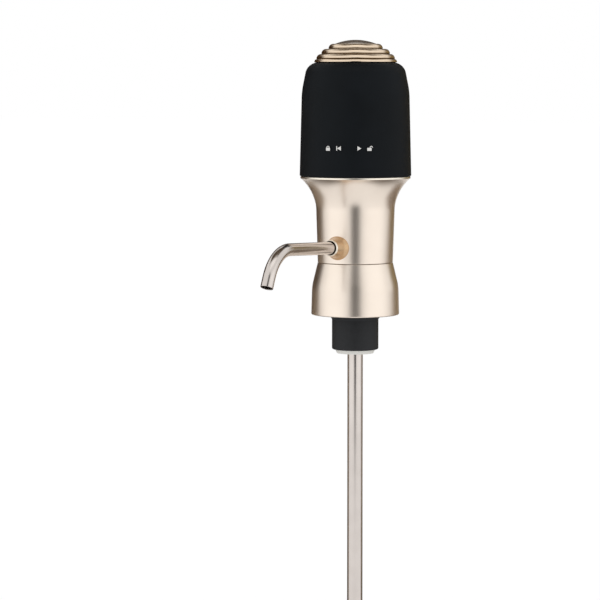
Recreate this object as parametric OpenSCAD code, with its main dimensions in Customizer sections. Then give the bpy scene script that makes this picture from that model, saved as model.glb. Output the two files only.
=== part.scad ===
// Electric wine aerator that plugs into a bottle.
// A push button starts an air pump, and wine rises through a dip tube to a spout.
// Sizes are in millimetres and +Z is up. The origin is where the bottle's lip seats.
// The spout points to -Y.

/* [Bottle fit] */
// Bore of the bottle mouth that the plug seals
bottle_bore = 18.5; // [17.5:0.1:20]
// Outside diameter of the bottle lip that the collar covers
bottle_lip_d = 30; // [28:0.2:32]
// Gap between the lip and the collar, on the radius
lip_gap = 0.3; // [0.1:0.1:0.8]
// Gap between the plug's nose and the bottle's bore, on the radius
plug_gap = 0.25; // [0.1:0.05:0.4]
// Length of the plug below the lip
plug_l = 25.5; // [22:0.5:32]
// Number of sealing fins on the plug
fin_count = 3; // [2:1:4]
// Distance from one fin to the next
fin_pitch = 4.2; // [3.4:0.2:5]
// How far a fin stands out from the plug
fin_reach = 0.9; // [0.4:0.1:1.2]
// Thickness of the flange that seats on the lip
flange_t = 1.5; // [1:0.1:2.5]

/* [Collar] */
// How far the collar hangs below the bottle's lip
collar_drop = 12; // [8:0.5:14]
// How far the collar rises from the lip to the seam
collar_rise = 8.2; // [7.4:0.2:10]
// Wall of the collar at its bottom edge
collar_wall = 1.75; // [1.2:0.05:2.5]
// How far below the lip the collar's cone meets its skirt
skirt_top = 1; // [0:0.5:4]
// Thickness of the web that carries the manifold
web_t = 2.5; // [1.5:0.1:3]

/* [Neck] */
// Wall of the neck
neck_wall = 1.5; // [1.2:0.1:2]
// How much wider the neck is at the start of its flare, on the radius
neck_taper = 0.6; // [0.2:0.1:1.2]
// Angle from upright that the flare reaches at the rim
flare_angle = 53; // [48:1:58]
// Height of the rim's bright edge
rim_h = 0.8; // [0.5:0.1:1.5]
// How far the rim is set in from the cover
rim_inset = 0.3; // [0.1:0.1:0.6]

/* [Spout] */
// Outside diameter of the spout's tube
spout_d = 4.8; // [4:0.1:5.4]
// Wall of the spout's tube
spout_wall = 0.4; // [0.3:0.05:0.6]
// Height of the spout above the seam, at the axis
spout_up = 5.8; // [5.2:0.1:8]
// Upward tilt of the spout's socket
spout_rise = 2; // [0:0.2:5]
// Distance from the axis to the corner of the spout's bend
spout_run = 62.5; // [45:0.5:80]
// Angle of the spout's tail from upright
spout_lean = 24.5; // [0:0.5:40]
// Length of the tail from the corner of the bend to its end
spout_tail = 14.7; // [12:0.1:40]
// Radius of the bend on the tube's centre line
bend_r = 16; // [10:0.5:18]
// How far the socket stands out from the neck
socket_out = 6.1; // [4:0.1:9]
// Wall of the socket at its mouth
socket_lip = 0.25; // [0.2:0.05:0.5]
// How much thicker the socket is at its root, on the radius
socket_taper = 1.1; // [0.8:0.05:1.6]
// Thickness of the spout's seal ring
seal_d = 0.8; // [0.6:0.05:1]

/* [Battery cover] */
// Wall of the cover
cover_wall = 1.5; // [1.2:0.1:2]
// Parting gap between the cover and the rim
cover_gap = 0.15; // [0.1:0.05:0.3]
// Free height above the battery tray
cover_head = 0.6; // [0.4:0.1:1.5]
// How much the cover tapers up to its shoulder, on the radius
cover_taper = 0.8; // [0.2:0.1:1.2]
// How far the shoulder draws in, on the radius
shoulder_in = 2.2; // [1.6:0.1:2.4]
// Height of the shoulder below the cover's top
shoulder_h = 11; // [6:0.5:16]
// Radius that rounds the cover's top edge
cover_round = 4.8; // [4:0.1:5.4]
// Twist from locked to open
twist = 30; // [24:1:36]

/* [Button] */
// Diameter of the push button
button_d = 16; // [14:0.2:17]
// Travel of the push button
button_travel = 1.5; // [1:0.1:2]
// Height of the button's dome above the bezel
dome_rise = 1.55; // [1:0.05:2.5]
// Number of steps on the bezel
bezel_steps = 4; // [3:1:5]
// Wall of the bezel round the button
bezel_wall = 1.2; // [1:0.1:1.6]
// Wire of the button's spring
spring_wire = 0.6; // [0.4:0.05:0.7]
// Turns of the button's spring
spring_turns = 3; // [2:1:3]

/* [Batteries] */
// Diameter of a cell
cell_d = 10.2; // [9.8:0.1:10.6]
// Length of a cell over its terminal
cell_l = 44.5; // [43:0.1:46]
// Gap between two cells in the ring
cell_space = 0.2; // [0.1:0.1:0.5]
// Gap between the cells and the shell of the neck
cell_gap = 0.5; // [0.3:0.1:1]
// Thickness of a contact plate
contact_t = 0.2; // [0.15:0.05:0.3]

/* [Pump] */
// Width of the motor across its flats
motor_w = 10; // [9:0.2:10.6]
// Height of the motor
motor_h = 12; // [11:0.2:13]
// Length of the motor's can
motor_l = 13.5; // [12:0.5:15]
// Thickness of the motor's end cap
motor_cap_t = 1; // [0.8:0.1:1.5]
// Length of the pump head
head_l = 7.9; // [7.4:0.1:9]
// Throw of the pump's eccentric
throw = 0.5; // [0.3:0.1:0.7]
// Gap round the pump in the neck's bore
pump_gap = 0.75; // [0.5:0.05:1.2]
// Free height between the spout's arm and the pump
pump_clear = 2.8; // [2.2:0.1:5]

/* [Dip tube] */
// Outside diameter of the fixed dip tube
dip_d = 6; // [5.4:0.1:6.4]
// Wall of both dip tubes
dip_wall = 0.4; // [0.3:0.05:0.5]
// Length of the fixed dip tube
dip_l = 125; // [90:1:160]
// How far the sliding dip tube pulls out
dip_travel = 112; // [60:1:140]
// Length of the notched foot
foot_l = 8; // [6:0.5:12]

/* [Fits] */
// Gap on the radius between pieces that are fixed together
fit = 0.05; // [0.02:0.01:0.1]
// Gap on the radius of a running or sliding fit
run_fit = 0.05; // [0.03:0.01:0.1]
// Gap between pieces that turn or slide past each other
slip = 0.3; // [0.25:0.05:0.4]

/* [Hidden] */
$fn = 96;
cell_count = 6;
eps = 0.01;
arc_step = 5;

// Battery ring, bayonet and cover, from the inside outwards
cell_ring = (cell_d + cell_space) / (2 * sin(180 / cell_count));
cells_r = cell_ring + cell_d / 2;
bay_in = cells_r + 0.7;
bay_r = bay_in + 2;
lug_reach = 1.5;
lug_h = 1.5;
lug_lift = 1.5;
lug_play = 0.2;
lug_half = 11;
stop_w = 2;
bay_out = bay_r + lug_reach;
cover_in = bay_out + slip;
cover_r = cover_in + cover_wall;
rim_r = cover_r - rim_inset;

// Neck round the pump
pump_l = motor_cap_t + motor_l + head_l;
bore_r = sqrt(pow(pump_l / 2, 2) + pow(motor_w / 2, 2)) + pump_gap;
foot_r = bore_r + neck_wall;
neck_r = foot_r + neck_taper;
flare_r = (rim_r - neck_r) / (1 - cos(flare_angle));
flare_x = neck_r + flare_r;

// Heights from the bottle's lip up
z_seam = collar_rise;
seam_in = 0.4;
seam_h = 0.15;
z_web = flange_t + web_t;
spout_z = z_seam + spout_up;
socket_gap = 0.35;
seal_bore = spout_d / 2 + socket_gap;
spigot_wall = 0.85;
spigot_r = seal_bore + spigot_wall;
arm_wall = 1;
arm_r = spigot_r + fit + arm_wall;
z_pump = spout_z + arm_r + pump_clear;
z_motor = z_pump + motor_h / 2;
z_ledge = z_pump + motor_h;
plate_t = 2.2;
plate_gap = 0.15;
z_tray = z_ledge + plate_t;
disc_t = 1.2;
z_disc = z_tray + disc_t;
z_cell = z_disc + contact_t;
flare_z = z_cell - sqrt(pow(flare_r + neck_wall, 2) - pow(flare_x - cells_r - cell_gap, 2));
z_rim = flare_z + flare_r * sin(flare_angle) + rim_h;
rim_round = 0.3;
z_lug = z_rim + cover_gap + lug_lift;
z_cells = z_cell + cell_l;
z_tray_top = z_cells + contact_t + disc_t;
z_cover_in = z_tray_top + cover_head;
z_cover = z_cover_in + cover_wall;

// Switch, button and bezel on the tray
board_t = 1;
switch_w = 6;
switch_h = 3.2;
plunger_r = 1.75;
plunger_in = 1.2;
z_board = z_tray_top + board_t;
z_switch = z_board + switch_h;
z_plunger = z_switch + button_travel;
button_r = button_d / 2;
button_flange = 1;
flange_r = button_r + button_flange;
button_play = 0.2;
z_flange = z_plunger + button_play;
button_flange_t = 1.7;
button_stop = 0.1;
z_bezel_in = z_flange + button_flange_t + button_stop;
bezel_lip_t = 1.5;
z_bezel = z_bezel_in + bezel_lip_t;
bezel_h = z_bezel - z_cover;
bezel_in = flange_r + button_play;
bezel_top_r = bezel_in + bezel_wall;
bezel_base_r = cover_r - cover_taper - shoulder_in - cover_round * 0.54;
spring_seat = 1.8;
mouth_r = button_r - spring_seat;
key_in = bezel_base_r - 2.9;
key_out = bezel_base_r - 1.7;
key_t = 0.8;
step_short = 0.35;

// Collar, plug and manifold
lip_r = bottle_lip_d / 2 + lip_gap;
skirt_r = lip_r + collar_wall;
plug_r = bottle_bore / 2 - plug_gap;
fin_r = plug_r + fin_reach;
stem_r = plug_r - 2;
sleeve_r = stem_r + fit;
barb_l = 1.5;
stem_end = plug_l + barb_l;
stem_barb = 0.8;
tenon_r = bore_r - fit;
tenon_wall = 1.2;
tenon_in = tenon_r - tenon_wall;
tenon_l = 2;
z_tenon = z_seam + tenon_l;
seat_in = fin_r + 0.4;

// Air way at the back of the manifold
air_y = pump_l / 2 - head_l / 2;
air_r = 0.9;
pocket_r = 3;
pocket_wall = 0.9;
pocket_h = 4;
z_pocket = z_web + 2.5;
z_inlet = z_pocket + pocket_h;
inlet_t = 1.6;
barb_r = 1.5;
barb_share = 0.42;
hose_r = 2.4;
diaphragm_t = 0.7;
valve_cap_h = 2.7;
z_outlet = z_pump - diaphragm_t - valve_cap_h;
hose_l = z_outlet - z_inlet;
chamber_r = 3.2;
crank_r = 4;
air_x = stem_r - air_r - 0.7;

// Wine way
wine_r = 2;
dip_r = dip_d / 2;
slide_r = dip_r - dip_wall - run_fit - 0.05;
dip_top = 12;
dip_end = dip_top + dip_l;
guide_lip = 1.5;
guide_l = 6;
guide_wall = 0.9;
slide_stop = 8;
slide_end = dip_end + slide_stop;
arm_short = 1.6;
arm_end = bore_r - arm_short;
spigot_l = 2.4;
spigot_end = arm_end - spigot_l;
tube_end = spigot_end + 0.9;
socket_end = foot_r + socket_out;

// Seal ring in the groove near the spout's end
seal_at = tube_end + 2.6;
seal_squeeze = 0.02;
seal_mid = seal_bore - seal_squeeze - seal_d / 2;
groove_gap = 0.1;
swage_l = 1;

// Spout's bend
bend = 90 + spout_rise - spout_lean;
bend_cut = bend_r * tan(bend / 2);
run_l = spout_run / cos(spout_rise);

// Screws that hold the tray and the cradle
screw_r = 0.8;
screw_x = bore_r - 0.1;
screw_l = 5.5;
screw_gap = 0.1;
screw_head_r = 1.3;
screw_head_t = 0.9;
screw_slot = 0.4;
boss_r = 1.8;
boss_l = screw_l + 1.5;

// Motor inside its can
shaft_r = 0.75;
can_t = 0.6;
magnet_in = 3.9;
magnet_end = 2;
armature_r = 3.5;
armature_end = 3;
core_r = 1.7;
pole_w = 4.4;
pole_t = 0.8;
arm_w = 1.4;
commutator_r = 1.8;
commutator_l = 2;
terminal_x = 2;
terminal_w = 1.1;
terminal_t = 0.3;
terminal_low = 3.05;
terminal_top = 5;
terminal_out = 0.65;
lead_r = 0.5;
knee_r = lead_r + 0.03;
eccentric_r = 2.2;

// Contact plates
contact_r = 3.4;
contact_w = 3;

// Points of an arc about a centre
function arc(c, r, a0, a1) =
    let (n = max(2, ceil(abs(a1 - a0) / arc_step)))
    [for (i = [0:n]) let (a = a0 + (a1 - a0) * i / n) [c.x + r * cos(a), c.y + r * sin(a)]];

function unit(v) = v / norm(v);

// Arc that replaces the corner b between a and c
function corner(a, b, c, r) =
    let (u = unit(a - b), v = unit(c - b), half = acos(u * v) / 2)
    let (m = b + unit(u + v) * r / sin(half))
    let (p = b + u * r / tan(half) - m, q = b + v * r / tan(half) - m)
    let (a0 = atan2(p.y, p.x), d = atan2(q.y, q.x) - a0)
    arc(m, r, a0, a0 + (d > 180 ? d - 360 : d < -180 ? d + 360 : d));

// Outline whose points are [x, y] or [x, y, corner radius]
function rounded(pts) =
    let (n = len(pts))
    [for (i = [0:n - 1])
        let (p = pts[i], a = pts[(i + n - 1) % n], c = pts[(i + 1) % n])
        each is_undef(p[2]) ? [[p.x, p.y]]
            : corner([a.x, a.y], [p.x, p.y], [c.x, c.y], p[2])];

// Inside radius of the neck's flare at a height
function flare_in(z) =
    flare_x - sqrt(pow(flare_r + neck_wall, 2) - pow(z - flare_z, 2));

module turned(pts) {
    rotate_extrude() polygon(rounded(pts));
}

module ring(r_out, r_in, z0, z1) {
    translate([0, 0, z0]) difference() {
        cylinder(r = r_out, h = z1 - z0);
        translate([0, 0, -1]) cylinder(r = r_in, h = z1 - z0 + 2);
    }
}

module rod(r, z0, z1) {
    translate([0, 0, z0]) cylinder(r = r, h = z1 - z0);
}

// Sector of a ring, from angle a0 to a1
module sector(r_out, r_in, z0, z1, a0, a1) {
    translate([0, 0, z0]) rotate([0, 0, a0]) rotate_extrude(angle = a1 - a0)
        translate([r_in, 0]) square([r_out - r_in, z1 - z0]);
}

// Puts +Z along the spout's socket, with +Y up
module along_spout() {
    translate([0, 0, spout_z]) rotate([90 - spout_rise, 0, 0]) children();
}

// Puts +Z along the motor's shaft, which points to +Y
module along_motor(y) {
    translate([0, y, z_motor]) rotate([-90, 0, 0]) children();
}

module screw_spots() {
    for (s = [-1, 1])
        translate([s * screw_x, 0, 0]) children();
}

// Collar over the bottle's lip

module lower_collar() {
    lead_in = 0.3;
    skirt_round = 0.5;
    skirt_draw = 0.32;
    waist_round = 16;
    color("#d8c6ab") turned([
        [lip_r + lead_in, -collar_drop], [skirt_r, -collar_drop, skirt_round],
        [skirt_r - skirt_draw, -skirt_top, waist_round], [foot_r, z_seam - seam_h],
        [foot_r - seam_in, z_seam], [tenon_r, z_seam], [tenon_r, z_tenon],
        [tenon_in, z_tenon], [tenon_in, z_web], [sleeve_r, z_web],
        [sleeve_r, flange_t], [lip_r, flange_t], [lip_r, lead_in - collar_drop]]);
}

// Neck

function neck_outer() = concat(
    [[foot_r - seam_in, z_seam], [foot_r, z_seam + seam_h]],
    arc([flare_x, flare_z], flare_r, 180, 180 - flare_angle),
    arc([rim_r - rim_round, z_rim - rim_round], rim_round, 0, 90));

module neck_shell() {
    color("#d8c6ab") difference() {
        union() {
            rotate_extrude() polygon(concat(
                neck_outer(),
                [[flare_in(z_rim), z_rim]],
                arc([flare_x, flare_z], flare_r + neck_wall,
                    180 - asin((z_rim - flare_z) / (flare_r + neck_wall)),
                    180 - asin((z_ledge - flare_z) / (flare_r + neck_wall))),
                [[bore_r, z_ledge], [bore_r, z_seam]]));
            for (s = [-1, 1])
                intersection() {
                    translate([s * screw_x, 0, 0]) rod(boss_r, z_ledge - boss_l, z_ledge);
                    rod(bore_r + neck_wall / 3, z_ledge - boss_l - 1, z_ledge);
                }
        }
        screw_spots() rod(screw_r, z_ledge - screw_l - 0.5, z_ledge + 1);
        along_spout() rod(spigot_r + fit, 0, socket_end);
    }
}

// Spout and its socket

module spout_socket() {
    tip_r = seal_bore + socket_lip;
    root_r = tip_r + socket_taper;
    fillet = 0.6;
    edge = 0.3;
    color("#c9a876") difference() {
        union() {
            along_spout() rod(spigot_r, spigot_end, foot_r);
            difference() {
                along_spout() turned([
                    [0, bore_r], [root_r + fillet, bore_r], [root_r + fillet, foot_r],
                    [root_r - fillet / 3, foot_r + 2 * fillet, 3 * fillet],
                    [tip_r, socket_end - edge], [tip_r - edge / 2, socket_end],
                    [0, socket_end]]);
                rotate_extrude() polygon(concat([[0, z_seam]], neck_outer(), [[0, z_rim]]));
            }
        }
        along_spout() {
            rod(wine_r, spigot_end - 1, tube_end);
            rod(spout_d / 2 + run_fit, tube_end - 0.1, seal_at - 1.3);
            rod(seal_bore, seal_at - 1.3, socket_end + 1);
        }
    }
}

module spout_seal() {
    color("#2a2a2a") along_spout() translate([0, 0, seal_at])
        rotate_extrude() translate([seal_mid, 0]) circle(d = seal_d);
}

// Tube with a swaged end and a groove for its seal.
// Bending thins the wall, so the bend starts inside the straight stretches.
module spout_tube() {
    neck = seal_mid - seal_squeeze - seal_d / 2;
    wall_r = spout_d / 2 - spout_wall;
    groove_half = seal_d / 2 + groove_gap;
    groove = [seal_at - groove_half, seal_at + groove_half];
    swage = 2 * seal_at - tube_end;
    straight = run_l - bend_cut;
    lap = 1;
    color("#b9b5b2") along_spout() {
        turned([
            [neck - spout_wall, tube_end], [spout_d / 2, tube_end], [spout_d / 2, groove[0]],
            [neck, groove[0]], [neck, groove[1]], [spout_d / 2, groove[1]],
            [spout_d / 2, straight], [wall_r, straight], [wall_r, swage + swage_l],
            [neck - spout_wall, swage]]);
        translate([0, -bend_r, straight]) rotate([90, 0, 90]) {
            rotate([0, 0, -lap]) rotate_extrude(angle = bend + 2 * lap)
                translate([bend_r, 0]) difference() {
                    circle(r = spout_d / 2 - 0.01);
                    circle(r = wall_r + 0.01);
                }
            rotate([0, 0, bend]) translate([bend_r, 0, 0]) rotate([-90, 0, 0])
                ring(spout_d / 2, wall_r, 0, spout_tail - bend_cut);
        }
    }
}

// Plug, manifold and the way of the air

module bottle_stopper() {
    fin_edge = 0.3;
    seat_r = lip_r - 0.15;
    nose_round = 0.6;
    fins = [for (i = [1:fin_count])
        let (z = -i * fin_pitch)
        each [[plug_r, z + 3 * fin_edge], [fin_r, z + fin_edge], [fin_r, z],
            [plug_r, z - 4 * fin_edge]]];
    color("#3a3a3a") turned(concat(
        [[sleeve_r, flange_t], [seat_r, flange_t], [seat_r, 0], [seat_in, 0],
        [seat_in, flange_t / 3], [plug_r, flange_t / 3]],
        fins,
        [[plug_r, -plug_l, nose_round], [sleeve_r, -plug_l]]));
}

module wine_manifold() {
    plate = 2;
    core_wall = 1;
    over = 0.6;
    jet_r = 0.4;
    color("#e6e4de") difference() {
        union() {
            rod(tenon_in - fit, z_web, z_web + plate);
            rod(stem_r, -stem_end, z_web);
            translate([0, 0, -stem_end])
                cylinder(r1 = stem_r + 0.1, r2 = stem_r + stem_barb, h = barb_l);
            rod(wine_r + core_wall, z_web, spout_z + arm_r + over);
            along_spout() rod(arm_r, 0, arm_end);
            translate([0, air_y, 0]) rod(pocket_r + pocket_wall, z_web, z_inlet - over);
        }
        rod(wine_r + 0.2, -stem_end - 1, spout_z + wine_r + over);
        rod(dip_r + fit, -stem_end - 1, -dip_top);
        along_spout() {
            rod(wine_r, 0, arm_end + 1);
            rod(spigot_r + fit, spigot_end, arm_end + 1);
        }
        translate([0, air_x, 0]) rod(air_r, -stem_end - 1, z_pocket + 0.5);
        translate([0, air_y, 0]) rod(pocket_r, z_pocket, z_inlet + 1);
        translate([0, 0, z_web + plate / 2]) rotate([-90, 0, 0]) cylinder(r = jet_r, h = air_x);
    }
}

module check_valve() {
    top = z_inlet - inlet_t;
    tip = z_pocket + 0.3;
    bill_r = 1.9;
    bill_t = 1;
    rim_t = 0.8;
    color("#8f3a32") translate([0, air_y, 0]) difference() {
        union() {
            rod(pocket_r - fit, top - rim_t, top);
            intersection() {
                rod(bill_r, tip, top);
                rotate([90, 0, 90]) linear_extrude(2 * pocket_r, center = true)
                    polygon([[-bill_t / 2, tip], [bill_t / 2, tip], [bill_r, top], [-bill_r, top]]);
            }
        }
        rod(1, top - 1, top + 1);
    }
}

module air_inlet() {
    color("#d9d6cf") translate([0, air_y, 0]) difference() {
        union() {
            rod(pocket_r - fit, z_inlet - inlet_t, z_inlet);
            rod(barb_r, z_inlet, z_inlet + hose_l * barb_share);
        }
        rod(air_r, z_inlet - inlet_t - 1, z_inlet + hose_l);
    }
}

module air_hose() {
    color("#c9cdd0") translate([0, air_y, 0])
        ring(hose_r, barb_r + fit, z_inlet, z_outlet);
}

// Dip tubes

module dip_tube_upper() {
    color("#b9b5b2") ring(dip_r, dip_r - dip_wall, -dip_end, -dip_top);
}

module dip_tube_guide() {
    guide_r = dip_r + guide_wall;
    color("#d9d6cf") turned([
        [slide_r + run_fit, -dip_end - guide_lip], [guide_r, -dip_end - guide_lip, 0.4],
        [guide_r, guide_l - dip_end, 0.6], [dip_r + fit, guide_l - dip_end],
        [dip_r + fit, -dip_end], [slide_r + run_fit, -dip_end]]);
}

module dip_tube_lower() {
    color("#b9b5b2") ring(slide_r, slide_r - dip_wall, -slide_end, -dip_top - 1);
}

module dip_tube_foot() {
    top = -dip_end - guide_lip - slip;
    low = top - foot_l;
    foot_in = slide_r - dip_wall - 0.3;
    foot_out = slide_r + guide_wall;
    notch_w = 1.6;
    notch_h = 1.5;
    color("#d9d6cf") difference() {
        turned([[foot_in, low], [foot_out, low, 0.4], [foot_out, top, 0.3],
            [slide_r + fit, top], [slide_r + fit, -slide_end], [foot_in, -slide_end]]);
        for (a = [0, 90])
            rotate([0, 0, a]) translate([-dip_d, -notch_w / 2, low - 1])
                cube([2 * dip_d, notch_w, notch_h + 1]);
    }
}

// Pump

module pump_cradle() {
    cheek = motor_w / 2 + fit;
    cheek_t = 1.5;
    hook_t = 0.9;
    hook_in = 3.2;
    front = -pump_l / 2 + motor_cap_t + 1;
    back = -pump_l / 2 + motor_cap_t + motor_l - 1;
    lead_slot = 3.6;
    color("#55585c") difference() {
        union() {
            rod(flare_in(z_ledge) - plate_gap, z_ledge, z_tray);
            for (s = [0, 1])
                mirror([s, 0, 0]) {
                    translate([cheek, front, z_pump - hook_t])
                        cube([cheek_t, back - front, motor_h + hook_t]);
                    translate([hook_in, front, z_pump - hook_t])
                        cube([cheek + cheek_t / 3 - hook_in, back - front, hook_t]);
                }
        }
        screw_spots() rod(screw_r + screw_gap, z_ledge - 1, z_tray + 1);
        translate([-lead_slot / 2, -pump_l / 2 - 1.5, z_ledge - 1])
            cube([lead_slot, pump_l / 2 + 1.5 + lead_slot / 2, plate_t + 2]);
    }
}

// Outline of the motor: a circle cut to its flats
module motor_outline(grow) {
    intersection() {
        circle(d = motor_h + 2 * grow);
        square([motor_w + 2 * grow, motor_h + 4], center = true);
    }
}

module motor_can() {
    y0 = -pump_l / 2 + motor_cap_t;
    color("#aeb2b6") along_motor(y0) difference() {
        linear_extrude(motor_l) motor_outline(0);
        translate([0, 0, -1]) linear_extrude(motor_l) motor_outline(-can_t);
        cylinder(r = shaft_r + run_fit, h = motor_l + 1);
    }
}

module motor_magnets() {
    y0 = -pump_l / 2 + motor_cap_t + magnet_end;
    color("#4b4d50") along_motor(y0) intersection() {
        difference() {
            linear_extrude(motor_l - 2 * magnet_end) motor_outline(-can_t - fit);
            translate([0, 0, -1]) cylinder(r = magnet_in, h = motor_l);
        }
        for (s = [0, 1])
            mirror([0, s, 0]) translate([-motor_w, magnet_in * 2 / 3, 0])
                cube([2 * motor_w, motor_h, motor_l]);
    }
}

module motor_armature() {
    y0 = -pump_l / 2;
    color("#8a5a3a") along_motor(y0) {
        rod(shaft_r, motor_cap_t, motor_cap_t + motor_l + head_l - 2);
        rod(commutator_r, motor_cap_t + can_t, motor_cap_t + can_t + commutator_l);
        translate([0, 0, motor_cap_t + armature_end]) linear_extrude(motor_l - 2 * armature_end) {
            circle(r = core_r);
            for (a = [0, 120, 240])
                rotate([0, 0, a]) {
                    translate([-arm_w / 2, 0]) square([arm_w, armature_r - pole_t / 2]);
                    intersection() {
                        difference() {
                            circle(r = armature_r);
                            circle(r = armature_r - pole_t);
                        }
                        translate([-pole_w / 2, 0]) square([pole_w, armature_r + 1]);
                    }
                }
        }
    }
}

module motor_end_cap() {
    color("#2f3133") along_motor(-pump_l / 2) difference() {
        linear_extrude(motor_cap_t) motor_outline(0);
        for (s = [-1, 1])
            translate([s * terminal_x - terminal_w / 2 - fit, -terminal_low - terminal_t - fit, -1])
                cube([terminal_w + 2 * fit, terminal_t + 2 * fit, motor_cap_t + 2]);
    }
}

module motor_terminals() {
    color("#c8a24a") along_motor(-pump_l / 2) for (s = [-1, 1])
        translate([s * terminal_x - terminal_w / 2, 0, -terminal_out]) {
            translate([0, -terminal_low - terminal_t, 0])
                cube([terminal_w, terminal_t, motor_cap_t + 2 * terminal_out]);
            translate([0, -terminal_top, 0])
                cube([terminal_w, terminal_top - terminal_low, terminal_t]);
        }
}

// A lead through a list of points
module lead(pts) {
    for (i = [0:len(pts) - 2]) {
        d = pts[i + 1] - pts[i];
        translate(pts[i]) rotate([0, acos(d.z / norm(d)), atan2(d.y, d.x)])
            cylinder(r = lead_r, h = norm(d));
        translate(pts[i + 1]) sphere(r = knee_r);
    }
}

module motor_leads() {
    y = -pump_l / 2 - terminal_out - terminal_t / 2;
    x = lead_r + 0.4;
    z = z_ledge + plate_t / 2;
    color("#b23a30") for (s = [-1, 1])
        lead([[s * (terminal_x - lead_r), y, z_motor + terminal_top + fit], [s * x, y, z],
            [s * x, 0, z], [s * x, 0, z_tray_top - disc_t / 2]]);
}

module pump_head() {
    y0 = pump_l / 2 - head_l;
    color("#3c4046") difference() {
        translate([-motor_w / 2, y0, z_pump]) cube([motor_w, head_l, motor_h]);
        along_motor(y0) rod(crank_r, -1, head_l - 1.5);
        translate([0, air_y, 0]) rod(chamber_r, z_pump - 1, z_motor);
    }
}

module pump_diaphragm() {
    eye = eccentric_r + throw + 0.2;
    eye_t = 2.4;
    eye_wall = 0.6;
    rod_r = 1.3;
    color("#26282a") difference() {
        union() {
            translate([0, air_y, 0]) {
                rod(head_l / 2, z_pump - diaphragm_t, z_pump);
                rod(rod_r, z_pump - diaphragm_t, z_motor - eye - 0.2);
            }
            along_motor(air_y) rod(eye + eye_wall, -eye_t / 2, eye_t / 2);
        }
        along_motor(air_y) rod(eye, -eye_t, eye_t);
    }
}

module pump_valve_cap() {
    y0 = pump_l / 2 - head_l;
    color("#3c4046") difference() {
        union() {
            translate([-motor_w / 2, y0, z_outlet]) cube([motor_w, head_l, valve_cap_h]);
            translate([0, air_y, 0]) rod(barb_r, z_outlet - hose_l * barb_share, z_outlet + 1);
        }
        translate([0, air_y, 0]) {
            rod(air_r, z_outlet - hose_l, z_pump);
            rod(chamber_r, z_outlet + valve_cap_h * 2 / 3, z_pump);
        }
    }
}

module pump_eccentric() {
    half = 1.5;
    color("#e0ddd4") along_motor(air_y) difference() {
        translate([throw, 0, 0]) rod(eccentric_r, -half, half);
        rod(shaft_r + fit / 2, -2 * half, 2 * half);
    }
}

// Battery tray

module battery_tray() {
    lip_z = z_lug + lug_h + lug_play;
    lip_top = lip_z + lug_h;
    ring_z = z_rim - 0.5;
    stop_z = z_rim + slip;
    stop_at = lug_half + 0.6;
    rib_w = 2.4;
    rib_in = cell_ring + 2.9;
    lap = 0.2;
    lead_hole_r = 2.6;
    color("#4a4d52") difference() {
        union() {
            rod(flare_in(z_tray) - plate_gap, z_tray, z_tray + disc_t);
            rod(cell_ring - cell_d / 2 - slip, z_tray, z_tray_top);
            rod(cells_r, z_tray_top - disc_t, z_tray_top);
            for (a = [60, 120, 240, 300])
                rotate([0, 0, a]) {
                    translate([rib_in, -rib_w / 2, z_disc - lap])
                        cube([cells_r - rib_in - 0.1, rib_w, z_tray_top - z_disc + lap]);
                    translate([cells_r - 2 * lap, -rib_w / 2, ring_z])
                        cube([bay_r - cells_r - lap, rib_w, lip_top - ring_z]);
                }
            ring(bay_r, bay_in, ring_z, lip_top);
            for (a = [-90, 30, 150]) {
                sector(bay_out, bay_r - lap, lip_z, lip_top, a - 16, a + 16);
                sector(bay_out - 0.1, bay_r - lap, stop_z, lip_z + lap,
                    a - stop_at - stop_w, a - stop_at);
                sector(bay_out - 0.1, bay_r - lap, stop_z, lip_z + lap,
                    a + stop_at + twist, a + stop_at + twist + stop_w);
            }
        }
        rod(lead_hole_r, z_tray - 1, z_tray_top + 1);
        screw_spots() rod(screw_r + screw_gap, z_tray - 1, z_tray + disc_t + 1);
    }
}

module tray_screws() {
    color("#9a9ea2") screw_spots() {
        rod(screw_r - fit / 2, z_ledge - screw_l, z_disc);
        difference() {
            rod(screw_head_r, z_disc, z_disc + screw_head_t);
            translate([-screw_x, -screw_slot / 2, z_disc + screw_head_t / 2])
                cube([2 * screw_x, screw_slot, screw_head_t]);
        }
    }
}

function cell_angle(i) = 30 + 360 / cell_count * i;

module at_cell(i) {
    rotate([0, 0, cell_angle(i)]) translate([cell_ring, 0, 0]) children();
}

// Contact plate that joins cell i to the next one
module contact_pair(i, z) {
    for (k = [i, i + 1])
        at_cell(k) rod(contact_r, z, z + contact_t);
    rotate([0, 0, cell_angle(i) + 180 / cell_count])
        translate([cell_ring * cos(180 / cell_count) - contact_w / 2, -cell_ring / 2, z])
        cube([contact_w, cell_ring, contact_t]);
}

module lower_contacts() {
    color("#c9ccd0") for (i = [0, 2, 4])
        contact_pair(i, z_disc);
}

module upper_contacts() {
    color("#c9ccd0") {
        for (i = [1, 3])
            contact_pair(i, z_cells);
        for (i = [0, 5])
            at_cell(i) rod(contact_r, z_cells, z_cells + contact_t);
    }
}

// Cell with its terminal up, or down when turned over
module battery_cell(i) {
    nub_r = 1.9;
    nub_l = 0.8;
    color("#2f5f8f") at_cell(i) translate([0, 0, i % 2 == 0 ? z_cell : z_cells])
        rotate([i % 2 == 0 ? 0 : 180, 0, 0]) {
            rod(cell_d / 2, 0, cell_l - nub_l);
            rod(nub_r, cell_l - nub_l, cell_l);
        }
}

// Switch

module switch_board() {
    color("#2f6b45") rod(mouth_r - slip, z_tray_top, z_board);
}

module switch_body() {
    color("#222426") difference() {
        translate([-switch_w / 2, -switch_w / 2, z_board]) cube([switch_w, switch_w, switch_h]);
        rod(plunger_r + run_fit, z_switch - plunger_in - button_travel - 0.2, z_switch + 1);
    }
}

module switch_plunger() {
    color("#c23b32") rod(plunger_r, z_switch - plunger_in, z_plunger);
}

// Battery cover and button

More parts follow.
